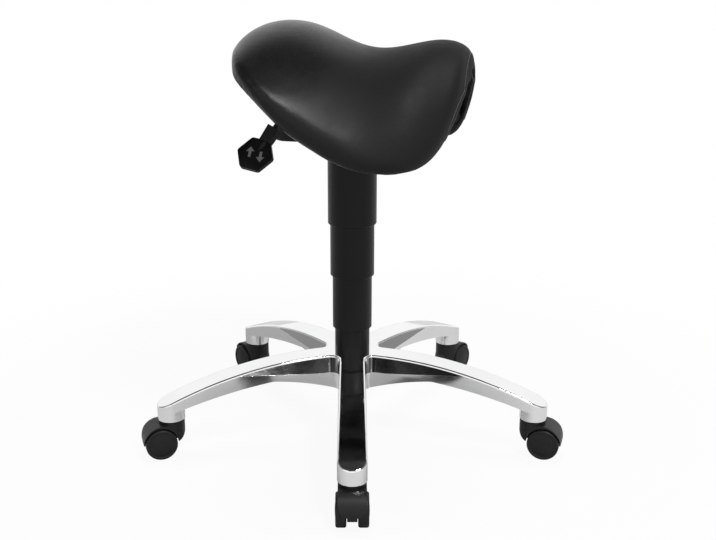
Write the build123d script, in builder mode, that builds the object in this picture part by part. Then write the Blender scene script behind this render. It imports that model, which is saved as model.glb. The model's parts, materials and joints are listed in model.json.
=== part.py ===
from build123d import *
import math
import os

os.makedirs("parts", exist_ok=True)

# Saddle stool. Millimetres. Origin on the floor under the column axis, +Z up.
# The seat's front points along -Y, so the sitter's right hand is on the -X side.

# Clearances
FIT = 0.05
RUN_FIT = 0.06
SLEEVE_GAP = 0.35
LAYER_GAP = 0.5

# Five-arm base
ARM_COUNT = 5
ARM_TURN = 50.0
STEM_RING_RADIUS = 300.0
ARM_ROOT_WIDTH = 40.0
BOSS_DIAMETER = 43.0
HUB_TOP = 141.5
HUB_BOTTOM = 81.0
HUB_RADIUS = 36.0
ARM_FLAT = 60.0
ARM_TOP_BEND = 625.0
ARM_UNDER_BEND = 800.0
ARM_ROOT_DEPTH = 29.0
ARM_ROOT_FILLET = 14.0
ARM_EDGE = 3.0
TOP_FACING = 0.5
WEB_WIDTH = 24.0
WEB_REACH = 150.0
WEB_RISE = 25.0
WEB_SAG = 4.0
CHANNEL_WALL = 4.5
CHANNEL_ROOF = 5.5
CHANNEL_START_RADIUS = 158.0
CHANNEL_END_RADIUS = 270.0

# Casters
WHEEL_DIAMETER = 50.0
WHEEL_WIDTH = 15.5
WHEEL_SPREAD = 8.2
WHEEL_EDGE = 3.2
WHEEL_RECESS = 1.0
WHEEL_DOME = 0.8
DISC_RADIUS = 19.5
CASTER_TRAIL = 20.0
CASTER_HEIGHT = 61.0
STEM_DIAMETER = 11.0
STEM_DEPTH = 25.0
STEM_SOCKET_FLOOR = 42.0
COLLAR_RADIUS = 10.0
COLLAR_GAP = 0.3
COLLAR_HEIGHT = 1.4
HOOD_CROWN = 55.5
HOOD_BEND = 29.0
HOOD_BACK_HEIGHT = 20.0
HOOD_TOE_HEIGHT = 27.0
HOOD_TOE_REACH = 7.0
HOOD_FACE_HEIGHT = 45.0
HOOD_CORNER = 7.0
NECK_RADIUS = 20.5
WELL_RADIUS = 27.0
WEB_HALF = 7.2
AXLE_DIAMETER = 6.0
AXLE_HALF = 20.0
AXLE_BOSS = 9.0

# Gas column
TUBE_RADIUS = 25.0
TUBE_TIP_RADIUS = 23.9
TUBE_WALL = 2.0
TUBE_BOTTOM = 84.0
TUBE_TOP = 318.0
TUBE_FLOOR = 4.4
CYLINDER_RADIUS = 14.0
CYLINDER_TIP_RADIUS = 13.35
CYLINDER_BORE = 12.5
CYLINDER_LENGTH = 272.0
CYLINDER_DROP = 3.0
CYLINDER_HEAD = 29.0
ROD_RADIUS = 5.0
ROD_STUD = 4.0
ROD_BOTTOM = 78.5
PISTON_RISE = 43.0
PISTON_HEIGHT = 12.0
PISTON_GAP = 0.1
GLAND_HEIGHT = 11.0
BUSH_LENGTH = 80.0
BUSH_FLANGE = 3.0
WASHER_RADIUS = 16.0
WASHER_HEIGHT = 7.5
SHOULDER_RADIUS = 7.0
SHOULDER_HEIGHT = 7.6
BUMPER_RADIUS = 14.0
BUMPER_HEIGHT = 7.0
CLIP_RADIUS = 9.0
CLIP_HEIGHT = 2.6
VALVE_RADIUS = 3.0
VALVE_LENGTH = 24.0
VALVE_REACH = 5.6
VALVE_DOME = 2.6
COVER_AIR = 1.0

# Telescoping sleeves round the column
SLEEVE_BASE_RADIUS = 28.0
SLEEVE_STEP = 3.5
SLEEVE_WALL = 2.0
SLEEVE_SHARE = 0.527
SLEEVE_LIP = 3.0
SLEEVE_EDGE = 0.8
BASE_SLEEVE_LENGTH = 99.0
LOWER_SLEEVE_SHARE = 0.186
MIDDLE_SLEEVE_SHARE = 0.6
TOP_SLEEVE_LENGTH = 114.0

# Tilt mechanism, hung below the seat's valley
HOUSING_HALF = 70.0
HOUSING_FRONT = 75.0
HOUSING_REAR = 105.0
HOUSING_DEPTH = 27.0
HOUSING_DROP = 23.0
SHEET = 2.5
HOUSING_CORNER = 18.0
SHELF_DEPTH = 30.0
SHELF_INSET = 18.0
SOCKET_RADIUS = 22.0
SOCKET_DROP = 25.0
SOCKET_FLANGE = 31.0
SOCKET_FLANGE_HEIGHT = 3.0
PIVOT_DROP = 10.0
TILT_PIN_RADIUS = 5.0
TILT_PIN_HEAD = 8.0
TILT_PIN_HEAD_HEIGHT = 3.0
EAR_INSET = 11.0
EAR_THICK = 4.0
EAR_HALF = 20.0
EAR_DROP = 12.0
BUSHING_RADIUS = 9.0
STOP_RADIUS = 8.0
STOP_MARGIN = 28.0
STOP_INSET = 18.0
TILT_LIMIT = 5.0
STOP_AIR = 0.5
PLATE_DROP = 84.0
PLATE_THICK = 3.0
PLATE_MARGIN = 1.0
PLATE_LONG = 88.0
PLATE_CORNER = 10.0
BOLT_INSET = 14.0
BOLT_Y = 72.0
BOLT_RADIUS = 4.0
BOLT_HEAD_RADIUS = 7.0
BOLT_HEAD_HEIGHT = 4.5
BOLT_LENGTH = 16.0
INSERT_RADIUS = 6.5
INSERT_LENGTH = 17.0

# Height lever
LEVER_TURN = 144.0
LEVER_RISE = 7.0
LEVER_ROD = 4.0
LEVER_TAIL = 8.0
LEVER_PIVOT = 30.0
LEVER_KNEE = 142.0
LEVER_KNEE_BEND = 10.0
LEVER_PIN_RADIUS = 2.0
LEVER_PIN_HALF = 11.0
LEVER_EAR_HALF = 5.0
LEVER_EAR_THICK = 3.0
LEVER_EAR_WIDTH = 12.0
PADDLE_X = -140.0
PADDLE_Y = 110.0
PADDLE_DROP = 42.0
PADDLE_LEAN = 40.0
PADDLE_TWIST = 48.0
PADDLE_SIDES = 6
PADDLE_RADIUS = 29.0
PADDLE_THICK = 7.0
PADDLE_ROUND = 6.0
PADDLE_DISH = 1.2
PADDLE_RIM = 3.0
NECK_NARROW = 15.0
NECK_WIDE = 20.0
NECK_LENGTH = 49.0
NECK_THICK = 12.0

# Saddle seat: s runs forward from the column axis
SEAT_REAR = 176.0
SEAT_FRONT = 187.0
SEAT_WIDEST = -30.0
SEAT_HALF_WIDTH = 190.0
REAR_FULLNESS = 3.4
FRONT_FULLNESS = 3.0
CANTLE_S = -95.0
CANTLE_RISE = 39.0
VALLEY_S = 41.0
VALLEY_Z = 627.0
POMMEL_S = 143.0
POMMEL_RISE = 16.0
CANTLE_FULLNESS = 2.4
CANTLE_ROUND = 60.0
POMMEL_ROUND = 38.0
FLAP_S = 85.0
FLAP_DROP = 157.0
RIM_KNEE_S = -105.0
RIM_KNEE_RISE = 98.0
REAR_RIM_RISE = 28.0
REAR_RIM_EASE = 1.87
FRONT_RIM_RISE = 122.0
FRONT_RIM_EASE = 3.9
PAD_THICK = 45.0
RIM_RADIUS = 21.0
END_ROLL = 32.0
FLANK_EASE = 0.95
FLANK_LIMIT = 80.0
SLOPE_PASSES = 15
PAD_STATIONS = 15
SHELL_THICK = 8.0
SHELL_SHARE = 0.985
SHELL_STATIONS = 9
SHELL_REAR = 148.0
SHELL_FRONT = 158.0
BLOCK_INSET = 2.0
BLOCK_LONG = 84.0
BLOCK_STATIONS = 5

WHEEL_RADIUS = WHEEL_DIAMETER / 2
STEM_RADIUS = STEM_DIAMETER / 2
AXLE_RADIUS = AXLE_DIAMETER / 2
BOSS_RADIUS = BOSS_DIAMETER / 2

# Heights that follow from the seat's valley
CANTLE_Z = VALLEY_Z + CANTLE_RISE
POMMEL_Z = VALLEY_Z + POMMEL_RISE
FLAP_Z = VALLEY_Z - FLAP_DROP
PLATE_BOTTOM = VALLEY_Z - PLATE_DROP
PLATE_TOP = PLATE_BOTTOM + PLATE_THICK
HOUSING_TOP = PLATE_BOTTOM - HOUSING_DROP
HOUSING_BOTTOM = HOUSING_TOP - HOUSING_DEPTH
PIVOT_Z = HOUSING_TOP - PIVOT_DROP
LEVER_Z = HOUSING_TOP + LEVER_RISE
PADDLE_Z = LEVER_Z - PADDLE_DROP
SOCKET_BOTTOM = HOUSING_BOTTOM - SOCKET_DROP
CYLINDER_TOP = HOUSING_TOP - CYLINDER_DROP
CYLINDER_BOTTOM = CYLINDER_TOP - CYLINDER_LENGTH
PISTON_Z = CYLINDER_BOTTOM + PISTON_RISE
TOP_SLEEVE_RIM = SOCKET_BOTTOM - TOP_SLEEVE_LENGTH
SLEEVE_SPAN = TOP_SLEEVE_RIM - HUB_TOP
MIDDLE_SLEEVE_RIM = HUB_TOP + SLEEVE_SPAN * MIDDLE_SLEEVE_SHARE
LOWER_SLEEVE_RIM = HUB_TOP + SLEEVE_SPAN * LOWER_SLEEVE_SHARE
SLEEVE_LENGTH = SLEEVE_SPAN * SLEEVE_SHARE

# Widths that follow from the housing
SHELF_HALF = HOUSING_HALF - SHELF_INSET
STOP_SPREAD = SHELF_HALF - STOP_MARGIN
EAR_INNER = HOUSING_HALF - EAR_INSET
PLATE_HALF = EAR_INNER + PLATE_MARGIN
BOLT_X = PLATE_HALF - BOLT_INSET
BLOCK_HALF = PLATE_HALF - BLOCK_INSET

# Outer radii of the sleeves
LOWER_SLEEVE_RADIUS = SLEEVE_BASE_RADIUS + SLEEVE_STEP
MIDDLE_SLEEVE_RADIUS = LOWER_SLEEVE_RADIUS + SLEEVE_STEP
TOP_SLEEVE_RADIUS = MIDDLE_SLEEVE_RADIUS + SLEEVE_STEP


def polar(radius, angle, z=0.0):
    turn = math.radians(angle)
    return (radius * math.cos(turn), radius * math.sin(turn), z)


def arm_top(radius):
    run = max(radius - ARM_FLAT, 0.0)
    return HUB_TOP - ARM_TOP_BEND + math.sqrt(ARM_TOP_BEND**2 - run**2)


def arm_under(radius):
    run = max(radius - ARM_FLAT, 0.0)
    return HUB_TOP - ARM_ROOT_DEPTH - ARM_UNDER_BEND + math.sqrt(ARM_UNDER_BEND**2 - run**2)


def tube_outer(z):
    share = (z - TUBE_BOTTOM) / (HUB_TOP - TUBE_BOTTOM)
    return TUBE_TIP_RADIUS + (TUBE_RADIUS - TUBE_TIP_RADIUS) * share


def taper_outer(z):
    share = (z - SOCKET_BOTTOM) / (CYLINDER_TOP - SOCKET_BOTTOM)
    return CYLINDER_RADIUS + (CYLINDER_TIP_RADIUS - CYLINDER_RADIUS) * share


def border_edges(faces):
    return faces.edges().filter_by(lambda edge: sum(edge in face.edges() for face in faces) == 1)


# Base: star plan cut to the arched arm profile
ARM_END = STEM_RING_RADIUS + BOSS_RADIUS + ARM_EDGE
ARM_MIDDLE = (ARM_FLAT + ARM_END) / 2

with BuildPart() as arm_star:
    with BuildSketch() as star_plan:
        with PolarLocations(0, ARM_COUNT, start_angle=ARM_TURN):
            Polygon(
                (0, -ARM_ROOT_WIDTH / 2),
                (STEM_RING_RADIUS, -BOSS_RADIUS),
                (STEM_RING_RADIUS, BOSS_RADIUS),
                (0, ARM_ROOT_WIDTH / 2),
                align=None,
            )
        with PolarLocations(STEM_RING_RADIUS, ARM_COUNT, start_angle=ARM_TURN):
            Circle(BOSS_RADIUS)
        fillet(star_plan.vertices().sort_by(SortBy.DISTANCE)[:ARM_COUNT], ARM_ROOT_FILLET)
    extrude(amount=HUB_TOP + ARM_EDGE)
    with BuildSketch(Plane.XZ):
        with BuildLine():
            Line((0, HUB_TOP), (ARM_FLAT, HUB_TOP))
            ThreePointArc(
                (ARM_FLAT, HUB_TOP), (ARM_MIDDLE, arm_top(ARM_MIDDLE)), (ARM_END, arm_top(ARM_END))
            )
            Line((ARM_END, arm_top(ARM_END)), (ARM_END, arm_under(ARM_END)))
            ThreePointArc(
                (ARM_END, arm_under(ARM_END)),
                (ARM_MIDDLE, arm_under(ARM_MIDDLE)),
                (ARM_FLAT, arm_under(ARM_FLAT)),
            )
            Line((ARM_FLAT, arm_under(ARM_FLAT)), (0, arm_under(ARM_FLAT)))
            Line((0, arm_under(ARM_FLAT)), (0, HUB_TOP))
        make_face()
    revolve(axis=Axis.Z, mode=Mode.INTERSECT)

# Base: centre webs that deepen toward the hub
with BuildPart() as arm_webs:
    with BuildSketch():
        with PolarLocations(0, ARM_COUNT, start_angle=ARM_TURN):
            Rectangle(WEB_REACH, WEB_WIDTH, align=(Align.MIN, Align.CENTER))
    extrude(amount=arm_under(0) + ARM_EDGE)
    with BuildSketch(Plane.XZ):
        with BuildLine():
            root = (HUB_RADIUS, HUB_BOTTOM)
            tip = (WEB_REACH, HUB_BOTTOM + WEB_RISE)
            middle = ((root[0] + tip[0]) / 2, (root[1] + tip[1]) / 2 + WEB_SAG)
            Line((0, HUB_BOTTOM), root)
            ThreePointArc(root, middle, tip)
            Line(tip, (WEB_REACH, arm_under(0) + ARM_EDGE))
            Line((WEB_REACH, arm_under(0) + ARM_EDGE), (0, arm_under(0) + ARM_EDGE))
            Line((0, arm_under(0) + ARM_EDGE), (0, HUB_BOTTOM))
        make_face()
    revolve(axis=Axis.Z, mode=Mode.INTERSECT)

# Base: open channel under each arm
with BuildPart() as arm_channels:
    with BuildSketch():
        with PolarLocations(0, ARM_COUNT, start_angle=ARM_TURN):
            Rectangle(STEM_RING_RADIUS, ARM_ROOT_WIDTH - 2 * CHANNEL_WALL, align=(Align.MIN, Align.CENTER))
    extrude(amount=HUB_TOP)
    with BuildSketch(Plane.XZ):
        with BuildLine():
            channel_middle = (CHANNEL_START_RADIUS + CHANNEL_END_RADIUS) / 2
            Line(
                (CHANNEL_START_RADIUS, 0),
                (CHANNEL_START_RADIUS, arm_top(CHANNEL_START_RADIUS) - CHANNEL_ROOF),
            )
            ThreePointArc(
                (CHANNEL_START_RADIUS, arm_top(CHANNEL_START_RADIUS) - CHANNEL_ROOF),
                (channel_middle, arm_top(channel_middle) - CHANNEL_ROOF),
                (CHANNEL_END_RADIUS, arm_top(CHANNEL_END_RADIUS) - CHANNEL_ROOF),
            )
            Line((CHANNEL_END_RADIUS, arm_top(CHANNEL_END_RADIUS) - CHANNEL_ROOF), (CHANNEL_END_RADIUS, 0))
            Line((CHANNEL_END_RADIUS, 0), (CHANNEL_START_RADIUS, 0))
        make_face()
    revolve(axis=Axis.Z, mode=Mode.INTERSECT)

with BuildPart() as base_star:
    add(arm_star.part)
    top_faces = base_star.faces().filter_by(lambda face: face.normal_at().Z > TOP_FACING)
    fillet(border_edges(top_faces), ARM_EDGE)
    add(arm_webs.part)
    with BuildSketch(Plane.XY.offset(HUB_BOTTOM)):
        Circle(HUB_RADIUS)
    extrude(amount=arm_under(0) - HUB_BOTTOM + ARM_EDGE)
    with BuildSketch(Plane.XY.offset(CASTER_HEIGHT)):
        with PolarLocations(STEM_RING_RADIUS, ARM_COUNT, start_angle=ARM_TURN):
            Circle(BOSS_RADIUS)
    extrude(amount=arm_under(STEM_RING_RADIUS) - CASTER_HEIGHT + ARM_EDGE)
    add(arm_channels.part, mode=Mode.SUBTRACT)
    with BuildSketch(Plane.XZ):
        Polygon(
            (0, HUB_BOTTOM),
            (tube_outer(HUB_BOTTOM) + FIT, HUB_BOTTOM),
            (tube_outer(HUB_TOP) + FIT, HUB_TOP),
            (0, HUB_TOP),
            align=None,
        )
    revolve(axis=Axis.Z, mode=Mode.SUBTRACT)
    with BuildSketch(Plane.XY.offset(CASTER_HEIGHT)):
        with PolarLocations(STEM_RING_RADIUS, ARM_COUNT, start_angle=ARM_TURN):
            Circle(STEM_RADIUS + FIT)
    extrude(amount=STEM_DEPTH + FIT, mode=Mode.SUBTRACT)
base_star.part.label = "base_star"
export_step(base_star.part, "parts/base_star.step")

# Column: tube pressed into the hub, guide bush, bearing, bumper and clip
with BuildPart() as column_tube:
    with BuildSketch(Plane.XZ):
        Polygon(
            (ROD_STUD + FIT, TUBE_BOTTOM),
            (TUBE_TIP_RADIUS, TUBE_BOTTOM),
            (TUBE_RADIUS, HUB_TOP),
            (TUBE_RADIUS, TUBE_TOP),
            (TUBE_RADIUS - TUBE_WALL, TUBE_TOP),
            (TUBE_RADIUS - TUBE_WALL, HUB_TOP),
            (TUBE_TIP_RADIUS - TUBE_WALL, TUBE_BOTTOM + TUBE_FLOOR),
            (ROD_STUD + FIT, TUBE_BOTTOM + TUBE_FLOOR),
            align=None,
        )
    revolve(axis=Axis.Z)
column_tube.part.label = "column_tube"
export_step(column_tube.part, "parts/column_tube.step")

with BuildPart() as guide_bush:
    with BuildSketch(Plane.XZ):
        Polygon(
            (CYLINDER_RADIUS + RUN_FIT, TUBE_TOP - BUSH_LENGTH),
            (TUBE_RADIUS - TUBE_WALL - FIT, TUBE_TOP - BUSH_LENGTH),
            (TUBE_RADIUS - TUBE_WALL - FIT, TUBE_TOP + FIT),
            (TUBE_RADIUS, TUBE_TOP + FIT),
            (TUBE_RADIUS, TUBE_TOP + BUSH_FLANGE),
            (CYLINDER_RADIUS + RUN_FIT, TUBE_TOP + BUSH_FLANGE),
            align=None,
        )
    revolve(axis=Axis.Z)
guide_bush.part.label = "guide_bush"
export_step(guide_bush.part, "parts/guide_bush.step")

WASHER_Z = TUBE_BOTTOM + TUBE_FLOOR + FIT
SHOULDER_Z = WASHER_Z + WASHER_HEIGHT + FIT

with BuildPart() as thrust_washer:
    with BuildSketch(Plane.XY.offset(WASHER_Z)):
        Circle(WASHER_RADIUS)
        Circle(ROD_STUD + FIT, mode=Mode.SUBTRACT)
    extrude(amount=WASHER_HEIGHT)
thrust_washer.part.label = "thrust_washer"
export_step(thrust_washer.part, "parts/thrust_washer.step")

with BuildPart() as bump_ring:
    with BuildSketch(Plane.XY.offset(SHOULDER_Z)):
        Circle(BUMPER_RADIUS)
        Circle(SHOULDER_RADIUS + FIT, mode=Mode.SUBTRACT)
    extrude(amount=BUMPER_HEIGHT)
bump_ring.part.label = "bump_ring"
export_step(bump_ring.part, "parts/bump_ring.step")

with BuildPart() as rod_clip:
    with BuildSketch(Plane.XY.offset(TUBE_BOTTOM - FIT - CLIP_HEIGHT)):
        Circle(CLIP_RADIUS)
        Circle(ROD_STUD + FIT, mode=Mode.SUBTRACT)
    extrude(amount=CLIP_HEIGHT)
rod_clip.part.label = "rod_clip"
export_step(rod_clip.part, "parts/rod_clip.step")

# Gas spring: rod and piston stay with the base, cylinder rises with the seat
with BuildPart() as piston_rod:
    with BuildSketch(Plane.XZ):
        Polygon(
            (0, ROD_BOTTOM),
            (ROD_STUD, ROD_BOTTOM),
            (ROD_STUD, SHOULDER_Z),
            (SHOULDER_RADIUS, SHOULDER_Z),
            (SHOULDER_RADIUS, SHOULDER_Z + SHOULDER_HEIGHT),
            (ROD_RADIUS, SHOULDER_Z + SHOULDER_HEIGHT),
            (ROD_RADIUS, PISTON_Z - FIT),
            (ROD_STUD, PISTON_Z - FIT),
            (ROD_STUD, PISTON_Z + PISTON_HEIGHT),
            (0, PISTON_Z + PISTON_HEIGHT),
            align=None,
        )
    revolve(axis=Axis.Z)
piston_rod.part.label = "piston_rod"
export_step(piston_rod.part, "parts/piston_rod.step")

with BuildPart() as piston_head:
    with BuildSketch(Plane.XY.offset(PISTON_Z)):
        Circle(CYLINDER_BORE - PISTON_GAP)
        Circle(ROD_STUD + FIT, mode=Mode.SUBTRACT)
    extrude(amount=PISTON_HEIGHT)
piston_head.part.label = "piston_head"
export_step(piston_head.part, "parts/piston_head.step")

with BuildPart() as gas_cylinder:
    with BuildSketch(Plane.XZ):
        Polygon(
            (CYLINDER_BORE, CYLINDER_BOTTOM),
            (CYLINDER_RADIUS, CYLINDER_BOTTOM),
            (CYLINDER_RADIUS, SOCKET_BOTTOM),
            (CYLINDER_TIP_RADIUS, CYLINDER_TOP),
            (VALVE_RADIUS + RUN_FIT, CYLINDER_TOP),
            (VALVE_RADIUS + RUN_FIT, CYLINDER_TOP - CYLINDER_HEAD),
            (CYLINDER_BORE, CYLINDER_TOP - CYLINDER_HEAD),
            align=None,
        )
    revolve(axis=Axis.Z)
gas_cylinder.part.label = "gas_cylinder"
export_step(gas_cylinder.part, "parts/gas_cylinder.step")

with BuildPart() as rod_gland:
    with BuildSketch(Plane.XY.offset(CYLINDER_BOTTOM)):
        Circle(CYLINDER_BORE - FIT)
        Circle(ROD_RADIUS + RUN_FIT, mode=Mode.SUBTRACT)
    extrude(amount=GLAND_HEIGHT)
rod_gland.part.label = "rod_gland"
export_step(rod_gland.part, "parts/rod_gland.step")

with BuildPart() as valve_pin:
    with BuildSketch(Plane.XY.offset(CYLINDER_TOP + VALVE_REACH - VALVE_LENGTH)):
        Circle(VALVE_RADIUS)
    extrude(amount=VALVE_LENGTH)
    fillet(valve_pin.edges().sort_by(Axis.Z)[-1], VALVE_DOME)
valve_pin.part.label = "valve_pin"
export_step(valve_pin.part, "parts/valve_pin.step")


# Sleeves: each hangs inside the next larger one by a flange and a lip
def sleeve_wall(outer, rim):
    top = rim + SLEEVE_LENGTH
    lip = outer - SLEEVE_STEP + SLEEVE_GAP
    flange = outer + SLEEVE_STEP - SLEEVE_WALL - SLEEVE_GAP
    Polygon(
        (lip, rim),
        (outer - SLEEVE_EDGE, rim),
        (outer, rim + SLEEVE_EDGE),
        (outer, top - SLEEVE_LIP),
        (flange, top - SLEEVE_LIP),
        (flange, top),
        (outer - SLEEVE_WALL, top),
        (outer - SLEEVE_WALL, rim + SLEEVE_LIP),
        (lip, rim + SLEEVE_LIP),
        align=None,
    )


with BuildPart() as cover_base:
    with BuildSketch(Plane.XZ):
        base_top = HUB_TOP + FIT + BASE_SLEEVE_LENGTH
        base_flange = LOWER_SLEEVE_RADIUS - SLEEVE_WALL - SLEEVE_GAP
        Polygon(
            (SLEEVE_BASE_RADIUS - SLEEVE_WALL, HUB_TOP + FIT),
            (SLEEVE_BASE_RADIUS, HUB_TOP + FIT),
            (SLEEVE_BASE_RADIUS, base_top - SLEEVE_LIP),
            (base_flange, base_top - SLEEVE_LIP),
            (base_flange, base_top),
            (SLEEVE_BASE_RADIUS - SLEEVE_WALL, base_top),
            align=None,
        )
    revolve(axis=Axis.Z)
cover_base.part.label = "cover_base"
export_step(cover_base.part, "parts/cover_base.step")

with BuildPart() as cover_lower:
    with BuildSketch(Plane.XZ):
        sleeve_wall(LOWER_SLEEVE_RADIUS, LOWER_SLEEVE_RIM)
    revolve(axis=Axis.Z)
cover_lower.part.label = "cover_lower"
export_step(cover_lower.part, "parts/cover_lower.step")

with BuildPart() as cover_middle:
    with BuildSketch(Plane.XZ):
        sleeve_wall(MIDDLE_SLEEVE_RADIUS, MIDDLE_SLEEVE_RIM)
    revolve(axis=Axis.Z)
cover_middle.part.label = "cover_middle"
export_step(cover_middle.part, "parts/cover_middle.step")

with BuildPart() as cover_top:
    with BuildSketch(Plane.XZ):
        outer = TOP_SLEEVE_RADIUS
        lip = MIDDLE_SLEEVE_RADIUS + SLEEVE_GAP
        crown_z = SOCKET_BOTTOM - COVER_AIR
        Polygon(
            (lip, TOP_SLEEVE_RIM),
            (outer - SLEEVE_EDGE, TOP_SLEEVE_RIM),
            (outer, TOP_SLEEVE_RIM + SLEEVE_EDGE),
            (outer, crown_z - SLEEVE_LIP),
            (outer - SLEEVE_LIP, crown_z),
            (CYLINDER_RADIUS + RUN_FIT, crown_z),
            (CYLINDER_RADIUS + RUN_FIT, crown_z - SLEEVE_LIP),
            (outer - SLEEVE_WALL, crown_z - SLEEVE_LIP - SLEEVE_WALL),
            (outer - SLEEVE_WALL, TOP_SLEEVE_RIM + SLEEVE_LIP),
            (lip, TOP_SLEEVE_RIM + SLEEVE_LIP),
            align=None,
        )
    revolve(axis=Axis.Z)
cover_top.part.label = "cover_top"
export_step(cover_top.part, "parts/cover_top.step")

# Casters: one set of forms round the stem axis, repeated under each boss
AXLE_PLACE = (CASTER_TRAIL, 0, WHEEL_RADIUS)
HOOD_CENTRE_X = CASTER_TRAIL - (HOOD_BEND - WELL_RADIUS)
HOOD_CENTRE_Z = HOOD_CROWN - HOOD_BEND
HOOD_BACK_X = HOOD_CENTRE_X + math.sqrt(HOOD_BEND**2 - (HOOD_CENTRE_Z - HOOD_BACK_HEIGHT)**2)
HOOD_SHOULDER = HOOD_BEND * math.sqrt(0.5)
NECK_TOP = CASTER_HEIGHT - COLLAR_HEIGHT - 2 * COLLAR_GAP

with BuildPart() as hood_form:
    with BuildSketch(Plane.XZ):
        with BuildLine():
            face_low = (-NECK_RADIUS, HOOD_FACE_HEIGHT)
            toe = (-HOOD_TOE_REACH, HOOD_TOE_HEIGHT)
            Line((-NECK_RADIUS, HOOD_CROWN), face_low)
            TangentArc(face_low, toe, tangent=(0, -1))
            Line(toe, (HOOD_BACK_X, HOOD_BACK_HEIGHT))
            ThreePointArc(
                (HOOD_BACK_X, HOOD_BACK_HEIGHT),
                (HOOD_CENTRE_X + HOOD_SHOULDER, HOOD_CENTRE_Z + HOOD_SHOULDER),
                (HOOD_CENTRE_X, HOOD_CROWN),
            )
            Line((HOOD_CENTRE_X, HOOD_CROWN), (-NECK_RADIUS, HOOD_CROWN))
        make_face()
    extrude(amount=NECK_RADIUS, both=True)
    with BuildSketch() as hood_plan:
        Circle(NECK_RADIUS)
        Rectangle(HOOD_CENTRE_X + HOOD_BEND, 2 * NECK_RADIUS, align=(Align.MIN, Align.CENTER))
        fillet(hood_plan.vertices().sort_by(Axis.X)[-2:], HOOD_CORNER)
    extrude(amount=CASTER_HEIGHT, mode=Mode.INTERSECT)
    with BuildSketch(Plane.XY.offset(HOOD_FACE_HEIGHT)):
        Circle(NECK_RADIUS)
    extrude(amount=NECK_TOP - HOOD_FACE_HEIGHT)
    for side in (Plane.XZ.offset(WEB_HALF), (-Plane.XZ).offset(WEB_HALF)):
        with BuildSketch(side):
            with Locations(side.to_local_coords(Vector(AXLE_PLACE))):
                Circle(WELL_RADIUS)
        extrude(amount=NECK_RADIUS, mode=Mode.SUBTRACT)
    with BuildSketch(Plane.XZ):
        with Locations((CASTER_TRAIL, WHEEL_RADIUS)):
            Circle(AXLE_BOSS)
    extrude(amount=WEB_HALF, both=True)
    with BuildSketch(Plane.XZ):
        with Locations((CASTER_TRAIL, WHEEL_RADIUS)):
            Circle(AXLE_RADIUS + FIT)
    extrude(amount=WEB_HALF, both=True, mode=Mode.SUBTRACT)
    with BuildSketch(Plane.XY.offset(STEM_SOCKET_FLOOR)):
        Circle(STEM_RADIUS + RUN_FIT)
    extrude(amount=CASTER_HEIGHT, mode=Mode.SUBTRACT)

with BuildPart() as stem_form:
    with BuildSketch(Plane.XY.offset(STEM_SOCKET_FLOOR + COLLAR_GAP)):
        Circle(STEM_RADIUS)
    extrude(amount=CASTER_HEIGHT + STEM_DEPTH - STEM_SOCKET_FLOOR - COLLAR_GAP)
    with BuildSketch(Plane.XY.offset(NECK_TOP + COLLAR_GAP)):
        Circle(COLLAR_RADIUS)
    extrude(amount=COLLAR_HEIGHT)

with BuildPart() as axle_form:
    with BuildSketch(Plane.XZ):
        with Locations((CASTER_TRAIL, WHEEL_RADIUS)):
            Circle(AXLE_RADIUS)
    extrude(amount=AXLE_HALF, both=True)


def wheel_outline(side):
    inner = WHEEL_SPREAD
    outer = WHEEL_SPREAD + WHEEL_WIDTH
    bore = AXLE_RADIUS + RUN_FIT
    floor = AXLE_HALF + LAYER_GAP
    shoulder = WHEEL_EDGE * (1 - math.sqrt(0.5))

    def at(radius, across):
        return (CASTER_TRAIL + radius, side * across)

    Line(at(bore, inner), at(WHEEL_RADIUS - WHEEL_EDGE, inner))
    ThreePointArc(
        at(WHEEL_RADIUS - WHEEL_EDGE, inner),
        at(WHEEL_RADIUS - shoulder, inner + shoulder),
        at(WHEEL_RADIUS, inner + WHEEL_EDGE),
    )
    Line(at(WHEEL_RADIUS, inner + WHEEL_EDGE), at(WHEEL_RADIUS, outer - WHEEL_EDGE))
    ThreePointArc(
        at(WHEEL_RADIUS, outer - WHEEL_EDGE),
        at(WHEEL_RADIUS - shoulder, outer - shoulder),
        at(WHEEL_RADIUS - WHEEL_EDGE, outer),
    )
    Line(at(WHEEL_RADIUS - WHEEL_EDGE, outer), at(DISC_RADIUS, outer - WHEEL_RECESS))
    TangentArc(at(0, outer + WHEEL_DOME), at(DISC_RADIUS, outer - WHEEL_RECESS), tangent=(1, 0))
    Line(at(0, outer + WHEEL_DOME), at(0, floor))
    Line(at(0, floor), at(bore, floor))
    Line(at(bore, floor), at(bore, inner))


AXLE_LINE = Axis(AXLE_PLACE, (0, 1, 0))

with BuildPart() as left_wheel_form:
    with BuildSketch(Plane.XY.offset(WHEEL_RADIUS)):
        with BuildLine():
            wheel_outline(1)
        make_face()
    revolve(axis=AXLE_LINE)

with BuildPart() as right_wheel_form:
    with BuildSketch(Plane.XY.offset(WHEEL_RADIUS)):
        with BuildLine():
            wheel_outline(-1)
        make_face()
    revolve(axis=AXLE_LINE)

CASTER_FORMS = {
    "stem": stem_form,
    "hood": hood_form,
    "axle": axle_form,
    "left_wheel": left_wheel_form,
    "right_wheel": right_wheel_form,
}

for arm in range(ARM_COUNT):
    turn = ARM_TURN + arm * 360 / ARM_COUNT
    for piece, form in CASTER_FORMS.items():
        with BuildPart() as caster_piece:
            with Locations(Location(polar(STEM_RING_RADIUS, turn), (0, 0, turn))):
                add(form.part)
        caster_piece.part.label = f"caster_{arm + 1}_{piece}"
        export_step(caster_piece.part, f"parts/caster_{arm + 1}_{piece}.step")

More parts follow.
